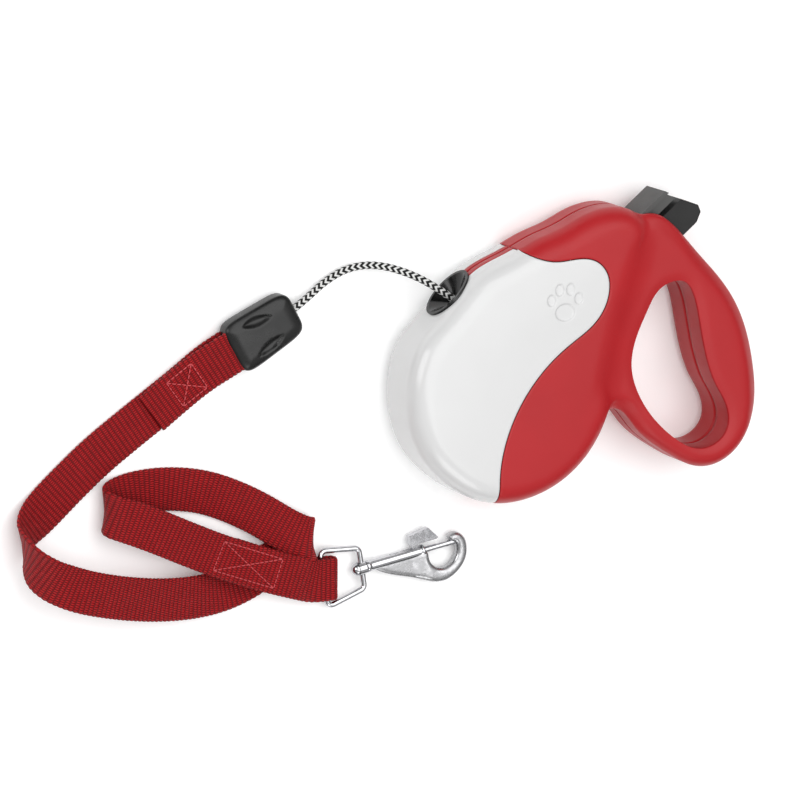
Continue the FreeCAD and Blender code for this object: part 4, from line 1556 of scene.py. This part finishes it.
def placed(skin: Skin, origin: Sequence[float], angle: float) -> list[Vector]:
    """A skin's points, turned about +Z and moved.

    Args:
        skin: Skin in its own plan.
        origin: Where its own origin goes.
        angle: Turn in degrees.

    Returns:
        The moved points.
    """
    turn = Matrix.Rotation(math.radians(angle), 3, "Z")
    return [turn @ place + Vector(origin) for place in skin.verts]


@dataclass
class Connector:
    """The domed block that joins the cord to the webbing."""

    centre: tuple[float, float, float] = (-153.5, 17.0, 5.5)
    angle: float = 28.0
    half_length: float = 17.6
    half_width: float = 12.0
    taper: float = 0.06
    squareness: float = 5.5
    eyes: tuple[tuple[float, float, float], ...] = ((-1.7, 6.9, -12.0), (-1.0, -6.6, 7.0))
    pieces: list[bpy.types.Object] = field(default_factory=list)

    def outline(self) -> list[tuple[float, float]]:
        """Plan of the block: a squarish oval, narrower at the cord's end.

        Returns:
            Places round the block.
        """
        made = []
        for number in range(64):
            angle = 2 * math.pi * number / 64
            x, y = (math.copysign(abs(part) ** (2 / self.squareness), part)
                    for part in (math.cos(angle), math.sin(angle)))
            made.append((self.half_length * x, (self.half_width - self.taper * self.half_length * x) * y))
        return [(place.x, place.y) for place in spaced([Vector((x, y, 0)) for x, y in made], 2.5, True)]

    def relief(self, place: Vector, level: float) -> float:
        """Sink the two almond-shaped finger marks into the face.

        Args:
            place: A place in the connector's own plan.
            level: Height of the plain face there.

        Returns:
            Height of the face with its marks.
        """
        low = level
        for x, y, turn in self.eyes:
            lean = math.radians(turn)
            along = (place.x - x) * math.cos(lean) + (place.y - y) * math.sin(lean)
            across = -(place.x - x) * math.sin(lean) + (place.y - y) * math.cos(lean)
            lens = (1 - (along / 8.0) ** 2) * 2.5
            inside = lens - abs(across)
            if inside > 0:
                low = min(low, level - 2.0 * ease(inside / 0.8) * (0.5 + 0.5 * ease(inside / 2.5)))
        return low

    def build(self, material: bpy.types.Material) -> None:
        """Build the upper and lower halves.

        Args:
            material: Their finish.
        """
        cast = Cast([self.outline()], 5.5, 2.6, 6.5, 0.55, self.relief)
        skin = cast.skin()
        for name, node, sign in (("connector_dome", "connector_upper", 1),
                                 ("connector_base", "connector_lower", -1)):
            faces = [face for face in skin.faces
                     if sum(skin.verts[n].z for n in face) * sign > 0]
            piece = new_piece(name, placed(skin, self.centre, self.angle), faces, material, "casing",
                              weld=True)
            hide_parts(node)
            LOG.info("%s: %d faces", name, len(faces))
            self.pieces.append(piece)


@dataclass
class Hook:
    """The swivel hook: a cast hook with its web, and the bolt's barrel."""

    origin: tuple[float, float, float] = (-122.5, -102.5, 3.8)
    angle: float = 9.0
    barrel: tuple[float, float] = (21.7, 51.8)
    outline: tuple[tuple[float, float], ...] = (
        (26, -1.6), (31, -5.6), (38, -8.8), (46, -12.2), (52, -15.2), (58.5, -16.9), (64, -15.8),
        (69, -12.6), (72.3, -8.2), (73.4, -3.2), (72.6, 1.2), (70, 4.0), (66.6, 4.4), (64.9, 2.9),
        (65.6, 1.2), (67.3, 0.0), (67.9, -2.6), (67.1, -6.2), (64.6, -9.2), (60.8, -10.5),
        (57, -9.7), (54.4, -7.2), (53.4, -3.8), (53.2, -1.4), (51.5, 0.2), (44, 0.4), (34, 0.3),
    )

    @staticmethod
    def relief(place: Vector, level: float) -> float:
        """Thin the web between the hook and the barrel.

        Args:
            place: A place in the hook's own plan.
            level: Height of the plain casting there.

        Returns:
            Height of the thinned casting.
        """
        web = ease((53.5 - place.x) / 9)
        return level * (1 - 0.42 * web)

    def barrel_skin(self) -> Skin:
        """Round barrel with end lips and a slot for the thumb plate's neck.

        Returns:
            The barrel in the hook's own frame.
        """
        skin = Skin()
        start, end = self.barrel
        rows = [(start, 1.6), (start, 2.5), (start + 0.25, 2.85), (start + 1.6, 2.85), (start + 1.9, 2.5)]
        rows += [(start + 1.9 + (end - start - 3.6) * n / 40, 2.5) for n in range(1, 40)]
        rows += [(end - 1.7, 2.5), (end - 1.4, 2.85), (end - 0.25, 2.85), (end, 2.5), (end, 1.5)]
        sides = 48
        for x, radius in rows:
            for side in range(sides):
                angle = 2 * math.pi * side / sides
                slot = abs(angle - math.pi / 2) < 0.42 and start + 13 < x < end - 1.9
                reach = radius - (1.1 if slot else 0)
                skin.verts.append(Vector((x, math.sin(angle) * reach, math.cos(angle) * reach)))
        for row in range(len(rows) - 1):
            for side in range(sides):
                following = (side + 1) % sides
                base = row * sides
                skin.faces.append((base + side, base + sides + side, base + sides + following,
                                   base + following))
        return skin

    def build(self, cast_finish: bpy.types.Material, polish: bpy.types.Material) -> list[bpy.types.Object]:
        """Build the hook and its barrel.

        Args:
            cast_finish: Finish of the cast hook.
            polish: Finish of the barrel.

        Returns:
            The new objects.
        """
        skin = Cast([list(self.outline)], 2.9, 0.9, 2.3, 0.5, self.relief).skin()
        hook = new_piece("cast_hook", placed(skin, self.origin, self.angle), skin.faces, cast_finish,
                         "hook", weld=True)
        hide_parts("hook_body")
        tube = self.barrel_skin()
        barrel = new_piece("bolt_barrel", placed(tube, self.origin, self.angle), tube.faces, polish, "hook")
        LOG.info("hook: %d faces", len(skin.faces) + len(tube.faces))
        return [hook, barrel]


# ---------------------------------------------------------------- the set


@dataclass
class Studio:
    """Camera, lights and floor."""

    target: tuple[float, float, float] = (-0.0816, -0.023, 0.0)
    distance: float = 2.0
    lens: float = 195.6

    def camera(self) -> None:
        """Place the camera."""
        towards = Vector((-0.4302, 0.2116, 0.878)).normalized()
        right = Vector((0.898, 0, 0.44))
        right = (right - towards * right.dot(towards)).normalized()
        upward = towards.cross(right)
        data = bpy.data.cameras.new("camera")
        data.lens = self.lens
        data.sensor_width = 36
        data.clip_end = 20
        holder = bpy.data.objects.new("camera", data)
        place = Vector(self.target) + towards * self.distance
        turn = Matrix((right, upward, towards)).transposed().to_4x4()
        holder.matrix_world = Matrix.Translation(place) @ turn
        bpy.context.scene.collection.objects.link(holder)
        bpy.context.scene.camera = holder

    def light(self, name: str, place: Sequence[float], size: float, power: float) -> None:
        """Place one soft panel that faces the leash.

        Args:
            name: Name of the light.
            place: Where it hangs.
            size: Side of the panel in metres.
            power: Power in watts.
        """
        data = bpy.data.lights.new(name, "AREA")
        data.shape = "SQUARE"
        data.size = size
        data.energy = power
        holder = bpy.data.objects.new(name, data)
        towards = Vector(place) - Vector(self.target)
        holder.location = place
        holder.rotation_euler = towards.to_track_quat("Z", "Y").to_euler()
        bpy.context.scene.collection.objects.link(holder)

    def floor(self) -> None:
        """Lay the pale floor."""
        mesh = bpy.data.meshes.new("floor")
        size = 3.0
        level = -0.0003
        mesh.from_pydata([(-size, -size, level), (size, -size, level), (size, size, level),
                          (-size, size, level)], [], [(0, 1, 2, 3)])
        mesh.materials.append(Paper().make())
        floor = bpy.data.objects.new("floor", mesh)
        bpy.context.scene.collection.objects.link(floor)

    @staticmethod
    def room(tree: bpy.types.NodeTree) -> None:
        """Light the world softly from above over a dark horizon.

        Args:
            tree: Node tree of the world.
        """
        where = tree.nodes.new("ShaderNodeTexCoord")
        parts = tree.nodes.new("ShaderNodeSeparateXYZ")
        tree.links.new(where.outputs["Generated"], parts.inputs[0])
        ramp = tree.nodes.new("ShaderNodeValToRGB")
        ramp.color_ramp.elements[0].position = 0.12
        ramp.color_ramp.elements[0].color = (0.02, 0.02, 0.02, 1)
        ramp.color_ramp.elements[1].position = 0.6
        ramp.color_ramp.elements[1].color = (1, 1, 1, 1)
        tree.links.new(parts.outputs["Z"], ramp.inputs[0])
        tree.links.new(ramp.outputs[0], tree.nodes["Background"].inputs[0])
        tree.nodes["Background"].inputs[1].default_value = 0.55

    def build(self) -> None:
        """Set up the whole studio."""
        self.camera()
        self.floor()
        world = bpy.data.worlds.new("studio")
        world.use_nodes = True
        self.room(world.node_tree)
        bpy.context.scene.world = world
        bpy.context.scene.view_settings.view_transform = "Standard"
        self.light("overhead", (0.1, 0.4, 1.8), 2.2, 30)
        self.light("left_panel", (-1.6, 0.5, 0.9), 1.0, 9)
        self.light("front_panel", (-0.2, -1.4, 1.0), 0.7, 4)


@dataclass
class Hardware:
    """Pieces that keep their CAD shape and only take a finish."""

    groups: dict[str, tuple[str, ...]] = field(default_factory=lambda: {
        "gloss": ("outlet_bezel",),
        "black": ("spring_case", "spring_lid"),
        "pad": ("brake_button",),
        "grey": ("lock_slider",),
        "natural": ("reel_drum", "brake_pawl"),
        "steel": ("casing_screws", "reel_axle", "axle_washer", "connector_bar"),
        "spring": ("rewind_spring", "brake_spring", "bolt_spring"),
        "chrome": ("swivel_ring", "swivel_rivet", "hook_bolt"),
        "yarn": ("wound_cord", "cord_lead"),
    })

    def build(self, finishes: dict[str, bpy.types.Material]) -> None:
        """Dress every piece.

        Args:
            finishes: Finish for each group.
        """
        for group, nodes in self.groups.items():
            for node in nodes:
                dress(node, finishes[group])
                LOG.info("%s: %s", node, group)


def main() -> None:
    """Build the studio, then every sub-assembly in order."""
    logging.basicConfig(level=logging.INFO, format="%(name)s: %(message)s")
    Studio().build()
    braid = Braid("braided_yarn", (0.012, 0.012, 0.012), (0.75, 0.75, 0.74))
    black = Moulding("moulded_black", (0.009, 0.009, 0.009), 0.24, 0.1, 0.25, 0.00002, 3200.0,
                     gleam=0.4)
    block = Connector()
    block.build(black.make())
    Cord().build(braid.make(), block)
    # The second colour is painted shade for the hollows between the webbing's floats.
    webbing = Weave("red_webbing_weave", (0.43, 0.009, 0.012), (0.12, 0.002, 0.003))
    thread = Moulding("red_thread_twist", (0.62, 0.09, 0.1), 0.6, 0.1, 0.2, 0.00005, 5000.0, gleam=0.2)
    chrome = Plate("polished_chrome", (0.58, 0.58, 0.6), 0.06, 0.08).make()
    zinc = Plate("plated_casting", (0.45, 0.45, 0.46), 0.24, 0.16, 0.00008).make()
    Webbing().build(webbing.make(), thread.make(), Hook().build(zinc, chrome))
    red = Moulding("satin_red", (0.4, 0.012, 0.016), 0.36, 0.06, 0.05, 0.00002, 2600.0, gleam=0.3)
    white = Moulding("polished_white", (0.62, 0.62, 0.62), 0.22, 0.05, 0.015, 0.000008, 1400.0, 0.4)
    Casing().build(red.make(), white.make())
    Hardware().build({
        "gloss": Moulding("polished_black", (0.003, 0.003, 0.003), 0.14, 0.05, 0.2, 0.000006,
                          1500.0).make(),
        "black": Moulding("inner_black", (0.02, 0.02, 0.02), 0.5).make(),
        "pad": Moulding("thumb_pad_black", (0.02, 0.02, 0.02), 0.4, 0.1, 0.2, 0.00004, 3600.0,
                        gleam=0.25).make(),
        "grey": Moulding("lock_grey", (0.085, 0.085, 0.083), 0.45, 0.1, 0.15, 0.00004, 3600.0,
                         gleam=0.3).make(),
        "natural": Moulding("natural_moulding", (0.62, 0.6, 0.54), 0.45).make(),
        "steel": Plate("turned_steel", (0.62, 0.62, 0.63), 0.25).make(),
        "spring": Plate("spring_steel_blue", (0.28, 0.29, 0.33), 0.3).make(),
        "chrome": chrome,
        "yarn": Moulding("wound_yarn", (0.12, 0.12, 0.12), 0.75, 0.1, 0.6, 0.0002, 1800.0).make(),
    })


if __name__ == "__main__":
    main()
